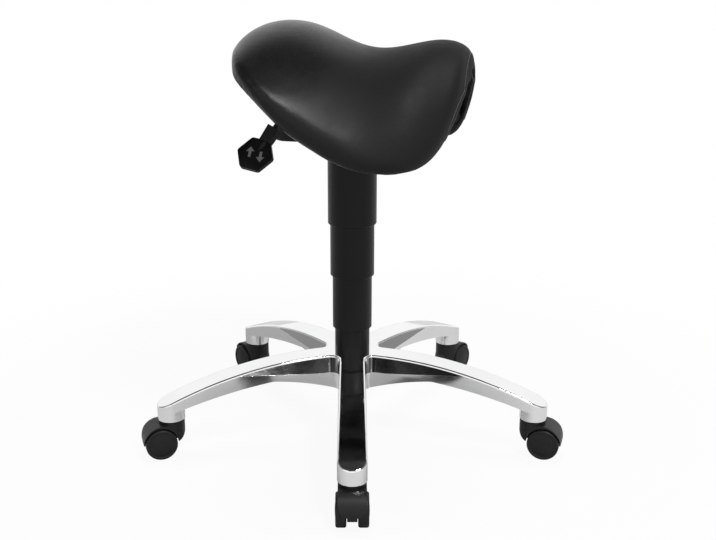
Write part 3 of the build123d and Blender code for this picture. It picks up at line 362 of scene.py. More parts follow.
class SharedGroups:
    """Node groups that several finishes use, each made when it is first asked for."""

    def _tree(
        self, name: str, inputs: dict[str, float], outputs: tuple[str, ...]
    ) -> tuple[Graph, dict[str, bpy.types.NodeSocket], dict[str, bpy.types.NodeSocket]]:
        """Start a group with a Vector input and named value sockets.

        Args:
            name: Group name.
            inputs: Value inputs and their defaults.
            outputs: Value outputs.

        Returns:
            The graph, the input sockets by name and the output sockets by name.
        """
        tree = bpy.data.node_groups.new(name, "ShaderNodeTree")
        tree.interface.new_socket("Vector", in_out="INPUT", socket_type="NodeSocketVector")
        for key, value in inputs.items():
            socket = tree.interface.new_socket(key, in_out="INPUT", socket_type="NodeSocketFloat")
            socket.default_value = value
        for key in outputs:
            tree.interface.new_socket(key, in_out="OUTPUT", socket_type="NodeSocketFloat")
        graph = Graph(tree)
        start = graph.add("NodeGroupInput")
        end = graph.add("NodeGroupOutput")
        return graph, {s.name: s for s in start.outputs}, {s.name: s for s in end.inputs}

    @cached_property
    def hide_grain(self) -> bpy.types.NodeTree:
        """Pebbled hide grain: rounded cells with fine creases, broken up by noise.

        Returns:
            The group, with outputs Height and Crease.
        """
        graph, given, out = self._tree("hide_grain", {"Scale": 700.0, "Warp": 0.0006}, ("Height", "Crease"))
        drift = graph.noise(given["Vector"], Scale=180.0, Detail=2.0)
        offset = graph.add("ShaderNodeVectorMath", operation="SCALE")
        graph.join(drift.outputs["Color"], offset.inputs[0])
        graph.join(given["Warp"], offset.inputs["Scale"])
        moved = graph.add("ShaderNodeVectorMath", operation="ADD")
        graph.join(given["Vector"], moved.inputs[0])
        graph.join(offset.outputs["Vector"], moved.inputs[1])
        cells = graph.add("ShaderNodeTexVoronoi", feature="DISTANCE_TO_EDGE")
        graph.feed(cells, Vector=moved.outputs["Vector"], Scale=given["Scale"])
        crease = graph.remap(cells.outputs["Distance"], (0.0, 0.22), (1.0, 0.0))
        fine = graph.noise(given["Vector"], Scale=2600.0, Detail=2.0)
        raised = graph.maths("SUBTRACT", 1.0, crease)
        height = graph.maths("ADD", raised, graph.scaled(fine.outputs["Fac"], 0.25))
        graph.join(height, out["Height"])
        graph.join(crease, out["Crease"])
        return graph.tree

    @cached_property
    def mould_grain(self) -> bpy.types.NodeTree:
        """Fine spark-eroded texture of a moulded or powder-coated face.

        Returns:
            The group, with outputs Height and Blotch.
        """
        sizes = {"Scale": 1800.0, "Blotch Scale": 14.0}
        graph, given, out = self._tree("mould_grain", sizes, ("Height", "Blotch"))
        fine = graph.noise(given["Vector"], Scale=given["Scale"], Detail=3.0, Roughness=0.6)
        broad = graph.noise(given["Vector"], Scale=given["Blotch Scale"], Detail=4.0, Roughness=0.6)
        graph.join(fine.outputs["Fac"], out["Height"])
        graph.join(graph.remap(broad.outputs["Fac"], (0.3, 0.7), (0.0, 1.0)), out["Blotch"])
        return graph.tree

    @cached_property
    def polish_marks(self) -> bpy.types.NodeTree:
        """Fine buffing scratches and soft hazy patches.

        Returns:
            The group, with outputs Scratch and Haze.
        """
        sizes = {"Scale": 420.0, "Haze Scale": 9.0}
        graph, given, out = self._tree("polish_marks", sizes, ("Scratch", "Haze"))
        bend = graph.noise(given["Vector"], Scale=11.0, Detail=1.0)
        wound = graph.add("ShaderNodeVectorMath", operation="MULTIPLY_ADD")
        graph.join(bend.outputs["Color"], wound.inputs[0])
        wound.inputs[1].default_value = (0.05, 0.05, 0.05)
        graph.join(given["Vector"], wound.inputs[2])
        stretch = graph.add("ShaderNodeMapping")
        graph.feed(stretch, Vector=wound.outputs["Vector"], Scale=(1.0, 0.08, 0.6))
        lines = graph.noise(stretch.outputs["Vector"], Scale=given["Scale"], Detail=4.0, Roughness=0.7)
        haze = graph.noise(given["Vector"], Scale=given["Haze Scale"], Detail=5.0, Roughness=0.65)
        graph.join(graph.remap(lines.outputs["Fac"], (0.4, 0.75), (0.0, 1.0)), out["Scratch"])
        graph.join(graph.remap(haze.outputs["Fac"], (0.35, 0.7), (0.0, 1.0)), out["Haze"])
        return graph.tree

    @cached_property
    def settled_dust(self) -> bpy.types.NodeTree:
        """Thin dust on faces that look up, broken into patches.

        Returns:
            The group, with the output Dust.
        """
        graph, given, out = self._tree("settled_dust", {"Amount": 0.3}, ("Dust",))
        place = graph.add("ShaderNodeNewGeometry")
        up = graph.remap(graph.axes(place.outputs["Normal"])["Z"], (0.35, 1.0), (0.0, 1.0))
        patch = graph.noise(given["Vector"], Scale=60.0, Detail=6.0, Roughness=0.75)
        share = graph.remap(patch.outputs["Fac"], (0.42, 0.72), (0.0, 1.0))
        graph.join(graph.scaled(graph.scaled(up, share), given["Amount"]), out["Dust"])
        return graph.tree


GROUPS = SharedGroups()


class Surface:
    """One material with Object coordinates, a Principled shader and shared groups."""

    def __init__(self, name: str, stretch: Place = Flow.NONE.value) -> None:
        """Start a material.

        Args:
            name: Material name.
            stretch: Scale of the pattern along X, Y and Z.
        """
        self.material = bpy.data.materials.new(name)
        self.material.use_nodes = True
        self.graph = Graph(self.material.node_tree)
        self.shader = self.material.node_tree.nodes["Principled BSDF"]
        place = self.graph.add("ShaderNodeTexCoord")
        mapping = self.graph.add("ShaderNodeMapping")
        self.graph.feed(mapping, Vector=place.outputs["Object"], Scale=stretch)
        self.place = mapping.outputs["Vector"]

    def group(self, tree: bpy.types.NodeTree, **values: float) -> bpy.types.NodeOutputs:
        """Place a shared group on this surface.

        Args:
            tree: The group.
            **values: Values of its inputs.

        Returns:
            The group node's outputs.
        """
        node = self.graph.add("ShaderNodeGroup", node_tree=tree)
        self.graph.feed(node, Vector=self.place, **values)
        return node.outputs

    def bump(self, height: bpy.types.NodeSocket, distance: float, strength: float) -> None:
        """Drive the shader's normal from a height.

        Args:
            height: Height socket.
            distance: Depth in metres.
            strength: Strength of the bump.
        """
        node = self.graph.add("ShaderNodeBump")
        self.graph.feed(node, Height=height, Distance=distance, Strength=strength)
        self.graph.join(node.outputs["Normal"], self.shader.inputs["Normal"])

    def constants(self, **values: float) -> None:
        """Set plain values on the shader's own sockets."""
        self.graph.feed(self.shader, **values)


# Finishes


@dataclass(frozen=True)
class LeatherFinish:
    """Black coated hide with a fine pebble grain, whose creases are darkened as painted shade."""

    name: str
    colour: Colour
    crease_shade_colour: Colour
    roughness: tuple[float, float]
    grain_scale: float
    grain_depth: float
    strength: float
    rubbed: float = 0.0
    rubbed_from: tuple[float, float] = (0.06, -0.1)
    specular: float = 0.3
    warp: float = 0.0007
    wear_scale: float = 240.0
    blotch_scale: float = 22.0
    crease_shade: float = 0.65
    crease_roughness: float = 0.12
    sheen: float = 0.02
    sheen_roughness: float = 0.4

    def material(self) -> bpy.types.Material:
        """Build the leather's nodes.

        Returns:
            The finished material.
        """
        surface = Surface(self.name)
        graph = surface.graph
        grain = surface.group(GROUPS.hide_grain, Scale=self.grain_scale, Warp=self.warp)
        wear = surface.group(GROUPS.mould_grain, Scale=self.wear_scale, Blotch_Scale=self.blotch_scale)
        # Painted shade: the grain's creases are darkened towards the crease colour.
        painted_crease_shade = graph.scaled(grain["Crease"], self.crease_shade)
        colour = graph.tint(painted_crease_shade, self.colour, self.crease_shade_colour)
        graph.join(colour, surface.shader.inputs["Base Color"])
        gloss = graph.remap(wear["Blotch"], (0.0, 1.0), self.roughness)
        rubbed = graph.remap(graph.axes(surface.place)["Y"], self.rubbed_from, (0.0, self.rubbed))
        gloss = graph.maths("ADD", gloss, rubbed)
        gloss = graph.maths("ADD", gloss, graph.scaled(grain["Crease"], self.crease_roughness))
        graph.join(gloss, surface.shader.inputs["Roughness"])
        surface.bump(grain["Height"], self.grain_depth, self.strength)
        surface.constants(
            Specular_IOR_Level=self.specular, Sheen_Weight=self.sheen, Sheen_Roughness=self.sheen_roughness
        )
        return surface.material


@dataclass(frozen=True)
class PlasticFinish:
    """Moulded plastic or powder coat with a fine grain, soft blotches and a little dust."""

    name: str
    colour: Colour
    worn_colour: Colour
    roughness: tuple[float, float]
    grain_scale: float
    grain_depth: float
    dust: float
    flow: Flow = Flow.NONE
    specular: float = 0.3
    blotch_scale: float = 16.0
    blotch_share: float = 0.6
    dust_roughness: float = 0.3
    strength: float = 0.6

    def material(self) -> bpy.types.Material:
        """Build the plastic's nodes.

        Returns:
            The finished material.
        """
        surface = Surface(self.name, self.flow.value)
        graph = surface.graph
        grain = surface.group(GROUPS.mould_grain, Scale=self.grain_scale, Blotch_Scale=self.blotch_scale)
        dust = surface.group(GROUPS.settled_dust, Amount=self.dust)
        share = graph.maths("ADD", graph.scaled(grain["Blotch"], self.blotch_share), dust["Dust"])
        graph.join(graph.tint(share, self.colour, self.worn_colour), surface.shader.inputs["Base Color"])
        gloss = graph.remap(grain["Blotch"], (0.0, 1.0), self.roughness)
        gloss = graph.maths("ADD", gloss, graph.scaled(dust["Dust"], self.dust_roughness))
        graph.join(gloss, surface.shader.inputs["Roughness"])
        surface.bump(grain["Height"], self.grain_depth, self.strength)
        surface.constants(Specular_IOR_Level=self.specular)
        return surface.material


@dataclass(frozen=True)
class Crown:
    """Soft crown ground into the upper part of each arm's cheeks, which runs out along the arm.

    Its lower edge is a line from foot to end, each given as a reach from the axis and a height in metres.
    """

    foot: tuple[float, float] = (0.06, 0.112)
    end: tuple[float, float] = (0.21, 0.126)
    slope: float = 1.05
    cheek: tuple[float, float] = (0.12, 0.03)


@dataclass(frozen=True)
class MetalFinish:
    """Polished, ground or plated metal with buffing marks."""

    name: str
    colour: Colour
    haze_colour: Colour
    roughness: tuple[float, float]
    scratch_depth: float
    flow: Flow = Flow.NONE
    crown: Crown | None = None
    marks_scale: float = 520.0
    haze_scale: float = 10.0
    haze_share: float = 0.6
    scratch_share: float = 0.4
    scratch_relief: float = 0.25

    def _crowned(self, surface: Surface) -> bpy.types.NodeSocket:
        """Height of the crown, in metres.

        Args:
            surface: Surface of the casting.

        Returns:
            The height socket.
        """
        graph = surface.graph
        place = graph.axes(surface.place)
        squares = [graph.scaled(place[axis], place[axis]) for axis in ("X", "Y")]
        reach = graph.maths("POWER", graph.maths("ADD", *squares), 0.5)
        start, stop = self.crown.foot, self.crown.end
        climb = (stop[1] - start[1]) / (stop[0] - start[0])
        line = graph.maths("ADD", graph.scaled(reach, climb), start[1] - climb * start[0])
        rise = graph.maths("MAXIMUM", graph.maths("SUBTRACT", place["Z"], line), 0.0)
        facing = graph.add("ShaderNodeNewGeometry")
        tilt = graph.maths("ABSOLUTE", graph.axes(facing.outputs["Normal"])["Z"])
        cheek = graph.remap(tilt, self.crown.cheek, (0.0, 1.0))
        return graph.scaled(graph.scaled(rise, -self.crown.slope), cheek)

    def material(self) -> bpy.types.Material:
        """Build the metal's nodes.

        Returns:
            The finished material.
        """
        surface = Surface(self.name, self.flow.value)
        graph = surface.graph
        marks = surface.group(GROUPS.polish_marks, Scale=self.marks_scale, Haze_Scale=self.haze_scale)
        haze = graph.scaled(marks["Haze"], self.haze_share)
        graph.join(graph.tint(haze, self.colour, self.haze_colour), surface.shader.inputs["Base Color"])
        mixed = graph.maths("ADD", haze, graph.scaled(marks["Scratch"], self.scratch_share))
        graph.join(graph.remap(mixed, (0.0, 1.0), self.roughness), surface.shader.inputs["Roughness"])
        height = graph.scaled(marks["Scratch"], self.scratch_relief * self.scratch_depth)
        if self.crown:
            height = graph.maths("ADD", height, self._crowned(surface))
        surface.bump(height, 1.0, 1.0)
        surface.constants(Metallic=1.0)
        return surface.material


LEATHER = LeatherFinish(
    "saddle_leather", (0.008, 0.008, 0.0082), (0.004, 0.004, 0.004),
    roughness=(0.2, 0.25), grain_scale=720.0, grain_depth=0.0001, strength=0.3, rubbed=0.35, specular=0.22,
)
# Painted highlight: the welt's leather is pale grey, far lighter than the hide, so that it shows as a light
# line along the front seam.
SEAM_PAINTED_HIGHLIGHT = LeatherFinish(
    "seam_painted_highlight", (0.075, 0.075, 0.077), (0.03, 0.03, 0.03),
    roughness=(0.4, 0.5), grain_scale=900.0, grain_depth=0.00012, strength=0.4,
)
FRONT_CLOTH = PlasticFinish(
    "front_panel_cloth", (0.005, 0.005, 0.005), (0.012, 0.012, 0.012),
    roughness=(0.72, 0.9), grain_scale=620.0, grain_depth=0.0003, dust=0.0,
)
SLEEVE = PlasticFinish(
    "sleeve_satin_black", (0.005, 0.005, 0.0052), (0.009, 0.009, 0.0092),
    roughness=(0.3, 0.38), grain_scale=2200.0, grain_depth=0.00003, dust=0.1, flow=Flow.UPRIGHT, specular=0.2,
)
CASTER = PlasticFinish(
    "caster_black", (0.007, 0.007, 0.0075), (0.014, 0.014, 0.0145),
    roughness=(0.36, 0.46), grain_scale=1700.0, grain_depth=0.00004, dust=0.2,
)
WHEEL = PlasticFinish(
    "wheel_black", (0.006, 0.006, 0.0065), (0.012, 0.012, 0.0125),
    roughness=(0.4, 0.54), grain_scale=1300.0, grain_depth=0.00005, dust=0.25,
)
POWDER = PlasticFinish(
    "mechanism_powder_coat", (0.009, 0.009, 0.0095), (0.015, 0.015, 0.015),
    roughness=(0.48, 0.58), grain_scale=900.0, grain_depth=0.00008, dust=0.25,
)
RUBBER = PlasticFinish(
    "stop_rubber", (0.011, 0.011, 0.011), (0.018, 0.018, 0.018),
    roughness=(0.7, 0.82), grain_scale=1200.0, grain_depth=0.00006, dust=0.3,
)
SHELL = PlasticFinish(
    "shell_moulded_black", (0.01, 0.01, 0.0105), (0.016, 0.016, 0.0165),
    roughness=(0.5, 0.62), grain_scale=700.0, grain_depth=0.00012, dust=0.15,
)
BUSH = PlasticFinish(
    "bush_moulded_grey", (0.05, 0.05, 0.052), (0.07, 0.07, 0.07),
    roughness=(0.4, 0.5), grain_scale=1500.0, grain_depth=0.00003, dust=0.1,
)
PADDLE = PlasticFinish(
    "paddle_satin_black", (0.006, 0.006, 0.0062), (0.011, 0.011, 0.0112),
    roughness=(0.3, 0.38), grain_scale=1500.0, grain_depth=0.00004, dust=0.1, specular=0.25,
)
SIGN = PlasticFinish(
    "paddle_sign_grey", (0.42, 0.42, 0.41), (0.34, 0.34, 0.33),
    roughness=(0.4, 0.55), grain_scale=1500.0, grain_depth=0.00002, dust=0.1,
)
ALUMINIUM = MetalFinish(
    "base_polished_aluminium", (0.9, 0.905, 0.91), (0.84, 0.845, 0.85),
    roughness=(0.07, 0.15), scratch_depth=0.00001, crown=Crown(),
)
STEEL = MetalFinish(
    "plated_steel", (0.58, 0.58, 0.6), (0.5, 0.5, 0.51), roughness=(0.2, 0.36), scratch_depth=0.00002
)

Finish = LeatherFinish | PlasticFinish | MetalFinish


class FinishRack:
    """Makes each finish's material once."""

    def __init__(self) -> None:
        """Start with no material made."""
        self.made: dict[str, bpy.types.Material] = {}

    def take(self, finish: Finish) -> bpy.types.Material:
        """Give a finish's material.

        Args:
            finish: The finish.

        Returns:
            Its material.
        """
        if finish.name not in self.made:
            self.made[finish.name] = finish.material()
        return self.made[finish.name]

    def coat(self, obj: bpy.types.Object, finish: Finish) -> None:
        """Give every slot of an object one finish.

        Args:
            obj: Object to coat.
            finish: The finish.
        """
        if not obj.material_slots:
            obj.data.materials.append(None)
        for slot in obj.material_slots:
            slot.material = self.take(finish)

    def coat_node(self, node: str, finish: Finish) -> None:
        """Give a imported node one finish.

        Args:
            node: Name of the node.
            finish: The finish.
        """
        self.coat(frame["nodes"][node], finish)
        LOG.info("%s takes %s", node, finish.name)


# Sub-assemblies


@dataclass(frozen=True)
class FrontLine:
    """Line where the hide is sewn to the front panel, upright above its bend and leaning back below it."""

    bend: Place = (0.0, -180 * MM, 577 * MM)
    upper_lean: float = 0.0
    lower_lean: float = 0.3

    def ahead(self, place: np.ndarray) -> np.ndarray:
        """Tell which points lie in front of the line.

        Args:
            place: One row of three numbers for each point.

        Returns:
            True for each point in front of the line.
        """
        rise = place[:, 2] - self.bend[2]
        lean = np.where(rise < 0, self.lower_lean, self.upper_lean)
        return place[:, 1] - self.bend[1] + lean * rise < 0


FRONT_LINE = FrontLine()


@dataclass
class SaddlePad:
    """Padded saddle: swollen hide over foam, with gathers where it is pulled round the corners."""

    voxel: float = 5.0 * MM
    shrink: float = 0.8 * MM
    pressure: float = 4.0
    bending: float = 8.0
    swell_cap: float = 3.0 * MM
    even_passes: int = 30
    frames: int = 20
    stiffness: float = 30.0
    pin_below: float = -0.25
    weld: float = 0.02 * MM
    smooth_factor: float = 0.5
    smooth_passes: int = 8
    edge_height: float = 4.0 * MM
    edge_facing: tuple[float, float] = (0.47, 0.14)
    edge_passes: int = 80
    edge_front: tuple[float, float] = (-0.35, -0.05)
    edge_rear: tuple[float, float] = (1.0, 0.7)
    corner: Place = (112 * MM, 158 * MM, 613 * MM)
    corner_reach: Place = (45 * MM, 30 * MM, 28 * MM)
    corner_pull: float = 5.0 * MM
    flap_foot: float = 472 * MM
    flap_reach: float = 20 * MM
    flap_fill: float = 2.0 * MM
    flap_facing: tuple[float, float] = (0.5, -0.2)
    gather_depth: float = 1.1 * MM
    gather_pitch: float = 15.0 * MM
    gather_angle: tuple[float, float] = (0.85, 0.3)
    gather_top: tuple[float, float] = (0.1, -0.5)
    gather_foot: tuple[float, float] = (-0.95, -0.6)
    gather_sway: tuple[float, float] = (3.0, 21.0 * MM)
    fill: float = 0.9
    piece: bpy.types.Object | None = field(default=None, init=False)

    def _copy_node(self) -> bpy.types.Object:
        """Copy the solid pad and close the copy.

        Returns:
            The copy, as one closed mesh.
        """
        source = frame["nodes"]["seat_pad"]
        obj = bpy.data.objects.new("saddle_cover", source.data.copy())
        bpy.context.scene.collection.objects.link(obj)
        obj.data.materials.clear()
        select_whole_mesh(obj)
        bpy.ops.mesh.remove_doubles(threshold=self.weld)
        bpy.ops.mesh.customdata_custom_splitnormals_clear()
        bpy.ops.mesh.normals_make_consistent(inside=False)
        bpy.ops.object.mode_set(mode="OBJECT")
        return obj

    def _swell(self, obj: bpy.types.Object) -> None:
        """Blow the cover up a little from inside, held along its underside.

        Args:
            obj: The remeshed cover.
        """
        start = coordinates(obj.data)
        below = np.nonzero(normals(obj.data)[:, 2] < self.pin_below)[0]
        held = obj.vertex_groups.new(name="underside")
        held.add(below.tolist(), 1.0, "REPLACE")
        cloth = obj.modifiers.new("cloth", "CLOTH")
        cloth.settings.use_pressure = True
        cloth.settings.uniform_pressure_force = self.pressure
        cloth.settings.effector_weights.gravity = 0.0
        cloth.settings.vertex_group_mass = held.name
        cloth.settings.tension_stiffness = self.stiffness
        cloth.settings.compression_stiffness = self.stiffness
        cloth.settings.bending_stiffness = self.bending
        cloth.point_cache.frame_end = self.frames
        for step in range(1, self.frames + 1):
            bpy.context.scene.frame_set(step)
        activate(obj)
        bpy.ops.object.modifier_apply(modifier=cloth.name)
        bpy.context.scene.frame_set(1)
        moved = coordinates(obj.data) - start
        reach = np.linalg.norm(moved, axis=1, keepdims=True)
        moved *= np.minimum(1.0, self.swell_cap / np.maximum(reach, 1e-9))
        moved = self._even(obj.data, moved, self.even_passes)
        obj.data.vertices.foreach_set("co", (start + moved).ravel())
        obj.data.update()
        LOG.info("saddle_cover swells by up to %.1f mm", reach.max() / MM)

    def _even(self, mesh: bpy.types.Mesh, moved: np.ndarray, passes: int) -> np.ndarray:
        """Even out how far neighbouring points move, so that the hide lies taut.

        Args:
            mesh: Mesh whose edges join the neighbours.
            moved: Move of each point, one row each.
            passes: How often neighbours are averaged.

        Returns:
            The evened moves.
        """
        ends = np.empty(len(mesh.edges) * 2, dtype=int)
        mesh.edges.foreach_get("vertices", ends)
        near = np.concatenate((ends[0::2], ends[1::2]))
        far = np.concatenate((ends[1::2], ends[0::2]))
        count = np.bincount(near, minlength=len(moved))[:, None]
        for _ in range(passes):
            total = np.stack([np.bincount(near, column[far], len(moved)) for column in moved.T], axis=1)
            moved = 0.5 * moved + 0.5 * total / np.maximum(count, 1)
        return moved

    def _shape(self, obj: bpy.types.Object) -> None:
        """Raise the firm edge under the hide, pull the rear corners in and fill the feet of the flaps.

        Args:
            obj: The subdivided cover.
        """
        place = coordinates(obj.data)
        out = normals(obj.data)
        mirrored = np.column_stack((np.abs(place[:, 0]), place[:, 1:]))
        angle = np.arctan2(mirrored[:, 1], mirrored[:, 0])
        facing, spread = self.edge_facing
        edge = np.exp(-(((out[:, 2] - facing) / spread) ** 2))
        edge *= smoothstep(*self.edge_front, angle) * smoothstep(*self.edge_rear, angle)
        edge = self._even(obj.data, edge[:, None], self.edge_passes)[:, 0]
        edge *= self.edge_height / edge.max()
        away = ((mirrored - np.array(self.corner)) / np.array(self.corner_reach)) ** 2
        corner = self.corner_pull * np.exp(-away.sum(axis=1))
        flap = self.flap_fill * np.exp(-(((place[:, 2] - self.flap_foot) / self.flap_reach) ** 2))
        flap *= smoothstep(*self.flap_facing, out[:, 2])
        push_out(obj.data, edge - corner + flap)

    def _gather(self, obj: bpy.types.Object) -> None:
        """Press soft gathers into the rim where the cover is pulled round the corners.

        Args:
            obj: The subdivided cover.
        """
        place = coordinates(obj.data)
        facing = normals(obj.data)[:, 2]
        angle = np.arctan2(place[:, 1], np.abs(place[:, 0]))
        middle, spread = self.gather_angle
        rear = np.exp(-(((angle - middle) / spread) ** 2))
        turned = smoothstep(*self.gather_top, facing) * smoothstep(*self.gather_foot, facing)
        along = np.arctan2(place[:, 1], place[:, 0]) * np.hypot(place[:, 0], place[:, 1])
        sway, pitch = self.gather_sway
        wave = np.sin(2 * math.pi * along / self.gather_pitch + sway * np.sin(along / pitch))
        push_out(obj.data, self.gather_depth * rear * turned * wave)

    def build(self) -> bpy.types.Object:
        """Make the cover from the pad's solid.

        Returns:
            The finished cover.
        """
        obj = self._copy_node()
        apply_modifier(obj, "REMESH", mode="VOXEL", voxel_size=self.voxel, use_smooth_shade=True)
        apply_modifier(obj, "SMOOTH", factor=self.smooth_factor, iterations=self.smooth_passes)
        select_whole_mesh(obj)
        bpy.ops.transform.shrink_fatten(value=-self.shrink)
        bpy.ops.object.mode_set(mode="OBJECT")
        self._swell(obj)
        apply_modifier(obj, "SUBSURF", levels=1, render_levels=1)
        self._shape(obj)
        self._gather(obj)
        activate(obj)
        bpy.ops.object.shade_smooth()
        self.piece = obj
        return obj

    def dress(self, rack: FinishRack) -> None:
        """Give the cover its leather and front panel, tie it to the seat and finish the shell.

        Args:
            rack: Holder of the materials.
        """
        rack.coat_node("seat_shell", SHELL)
        rack.coat(self.piece, LEATHER)
        self.piece.data.materials.append(rack.take(FRONT_CLOTH))
        middles = np.empty(len(self.piece.data.polygons) * 3)
        self.piece.data.polygons.foreach_get("center", middles)
        panel = FRONT_LINE.ahead(middles.reshape(-1, 3)).astype(np.int32)
        self.piece.data.polygons.foreach_set("material_index", panel)
        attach(self.piece, Body.SEAT.value)
        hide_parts("seat_pad")


@dataclass
class FrontWelt:
    """Thin sewn welt where the hide meets the front panel, in pale grey leather that paints a highlight line
    along the seam.
    """

    line: FrontLine = FRONT_LINE
    thick: float = 0.8 * MM
    weld: float = 0.4 * MM
    piece: bpy.types.Object | None = field(default=None, init=False)

    def _cut(self, cover: bpy.types.Object, lean: float, above: bool) -> bpy.types.Object:
        """Cut the cover's outline along one straight stretch of the line.

        Args:
            cover: The saddle's cover.
            lean: Lean of the stretch.
            above: True for the stretch above the bend.

        Returns:
            The outline, as loose edges.
        """
        obj = bpy.data.objects.new("front_welt", cover.data.copy())
        bpy.context.scene.collection.objects.link(obj)
        bend = self.line.bend
        select_whole_mesh(obj)
        bpy.ops.mesh.bisect(plane_co=bend, plane_no=(0, 0, 1), clear_inner=above, clear_outer=not above)
        bpy.ops.mesh.select_all(action="SELECT")
        bpy.ops.mesh.bisect(plane_co=bend, plane_no=(0, 1, lean), clear_inner=True, clear_outer=True)
        bpy.ops.object.mode_set(mode="OBJECT")
        return obj

    def build(self, cover: bpy.types.Object) -> bpy.types.Object:
        """Join both stretches of the line and thicken them.

        Args:
            cover: The saddle's cover.

        Returns:
            The welt.
        """
        upper = self._cut(cover, self.line.upper_lean, True)
        lower = self._cut(cover, self.line.lower_lean, False)
        join_objects([upper, lower])
        select_whole_mesh(upper)
        bpy.ops.mesh.remove_doubles(threshold=self.weld)
        bpy.ops.object.mode_set(mode="OBJECT")
        bpy.ops.object.convert(target="CURVE")
        curve = bpy.context.object
        curve.data.bevel_depth = self.thick
        curve.data.bevel_resolution = 1
        bpy.ops.object.convert(target="MESH")
        name_piece("front_welt")
        bpy.context.object.data.materials.clear()
        bpy.ops.object.shade_smooth()
        self.piece = bpy.context.object
        return self.piece

    def dress(self, rack: FinishRack) -> None:
        """Give the welt its pale leather, a painted highlight line, and tie it to the seat.

        Args:
            rack: Holder of the materials.
        """
        rack.coat(self.piece, SEAM_PAINTED_HIGHLIGHT)
        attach(self.piece, Body.SEAT.value)


@dataclass
class HeightLever:
    """Lever rod and paddle, with a plain arrow up and arrow down that stand proud of the paddle's face."""

    centre: Vector = field(default_factory=lambda: Vector((-140 * MM, 110 * MM, 485 * MM)))
    lean: float = 40.0
    face: float = 2.35 * MM
    proud: float = 0.25 * MM
    head: float = 6.4 * MM
    stem_width: float = 4.2 * MM
    stem_length: float = 9.0 * MM
    head_length: float = 8.0 * MM
    spread: float = 8.5 * MM
    bevel: float = 0.08 * MM
    weld: float = 0.01 * MM
    piece: bpy.types.Object | None = field(default=None, init=False)

    def _arrow(self, side: float, up: float) -> bpy.types.Object:
        """Model one flat arrow in the XY plane.

        Args:
            side: Place of the arrow across the paddle.
            up: 1 for an arrow up, -1 for an arrow down.

        Returns:
            The arrow.
        """
        deselect_all()
        bpy.ops.mesh.primitive_plane_add(size=1.0, location=(side, 0, 0))
        obj = bpy.context.object
        obj.scale = (self.stem_width, self.stem_length, 1)
        settle(obj)
        bpy.ops.object.mode_set(mode="EDIT")
        bpy.ops.mesh.select_all(action="DESELECT")
        mesh = bmesh.from_edit_mesh(obj.data)
        for edge in [e for e in mesh.edges if all(v.co.y * up > self.stem_length / 4 for v in e.verts)]:
            edge.select_set(True)
        bmesh.update_edit_mesh(obj.data)
        middle = Vector((side, up * self.stem_length / 2, 0))
        bpy.ops.mesh.extrude_region_move()
        bpy.ops.transform.resize(value=(2 * self.head / self.stem_width, 1, 1), center_override=middle)
        bpy.ops.mesh.extrude_region_move(TRANSFORM_OT_translate={"value": (0, up * self.head_length, 0)})
        bpy.ops.mesh.merge(type="CENTER")
        bpy.ops.mesh.select_all(action="SELECT")
        bpy.ops.mesh.remove_doubles(threshold=self.weld)
        bpy.ops.mesh.normals_make_consistent(inside=False)
        bpy.ops.object.mode_set(mode="OBJECT")
        return obj

    def build(self) -> bpy.types.Object:
        """Model both arrows and lay them on the paddle's face.

        Returns:
            The sign.
        """
        join_objects([self._arrow(-self.spread, 1), self._arrow(self.spread, -1)])
        obj = name_piece("lever_sign")
        apply_modifier(obj, "SOLIDIFY", thickness=self.proud, offset=0.0)
        apply_modifier(obj, "BEVEL", width=self.bevel, segments=2)
        turn = math.radians(self.lean)
        right = Vector((0, -1, 0))
        out = Vector((-math.cos(turn), 0, math.sin(turn)))
        up = out.cross(right)
        place = Matrix((right, up, out)).transposed().to_4x4()
        place.translation = self.centre + out * self.face
        obj.data.transform(place)
        obj.data.update()
        self.piece = obj
        return obj

    def dress(self, rack: FinishRack) -> None:
        """Give the sign its print and tie it to the lever.

        Args:
            rack: Holder of the materials.
        """
        rack.coat_node("lever_arm", POWDER)
        rack.coat_node("lever_paddle", PADDLE)
        rack.coat(self.piece, SIGN)
        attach(self.piece, Body.LEVER.value)


@dataclass
class StarBase:
    """Polished five-arm casting with the tube pressed into its hub."""

    casting: str = "base_star"
    tube: str = "column_tube"

    def dress(self, rack: FinishRack) -> None:
        """Polish the casting and coat the tube.

        Args:
            rack: Holder of the materials.
        """
        rack.coat_node(self.casting, ALUMINIUM)
        rack.coat_node(self.tube, POWDER)


@dataclass
class CasterSet:
    """Five twin-wheel casters."""

    count: int = 5

    def dress(self, rack: FinishRack) -> None:
        """Finish the hoods and wheels in black and the stems and axles in plated steel.

        Args:
            rack: Holder of the materials.
        """
        for number in range(1, self.count + 1):
            name = f"caster_{number}"
            rack.coat_node(f"{name}_hood", CASTER)
            rack.coat_node(f"{name}_left_wheel", WHEEL)
            rack.coat_node(f"{name}_right_wheel", WHEEL)
            rack.coat_node(f"{name}_stem", STEEL)
            rack.coat_node(f"{name}_axle", STEEL)


@dataclass
class SleeveColumn:
    """Telescoping sleeves over the gas spring, and the spring itself."""

    sleeves: tuple[str, ...] = ("cover_base", "cover_lower", "cover_middle", "cover_top")
    coated: tuple[str, ...] = ("gas_cylinder",)
    plated: tuple[str, ...] = (
        "piston_rod", "piston_head", "rod_gland", "rod_clip", "thrust_washer", "valve_pin"
    )

    def dress(self, rack: FinishRack) -> None:
        """Finish the sleeves in satin black and the spring's pieces in coat and plating.

        Args:
            rack: Holder of the materials.
        """
        for name in self.sleeves:
            rack.coat_node(name, SLEEVE)
        for name in self.coated:
            rack.coat_node(name, POWDER)
        for name in self.plated:
            rack.coat_node(name, STEEL)
        rack.coat_node("guide_bush", BUSH)
        rack.coat_node("bump_ring", RUBBER)


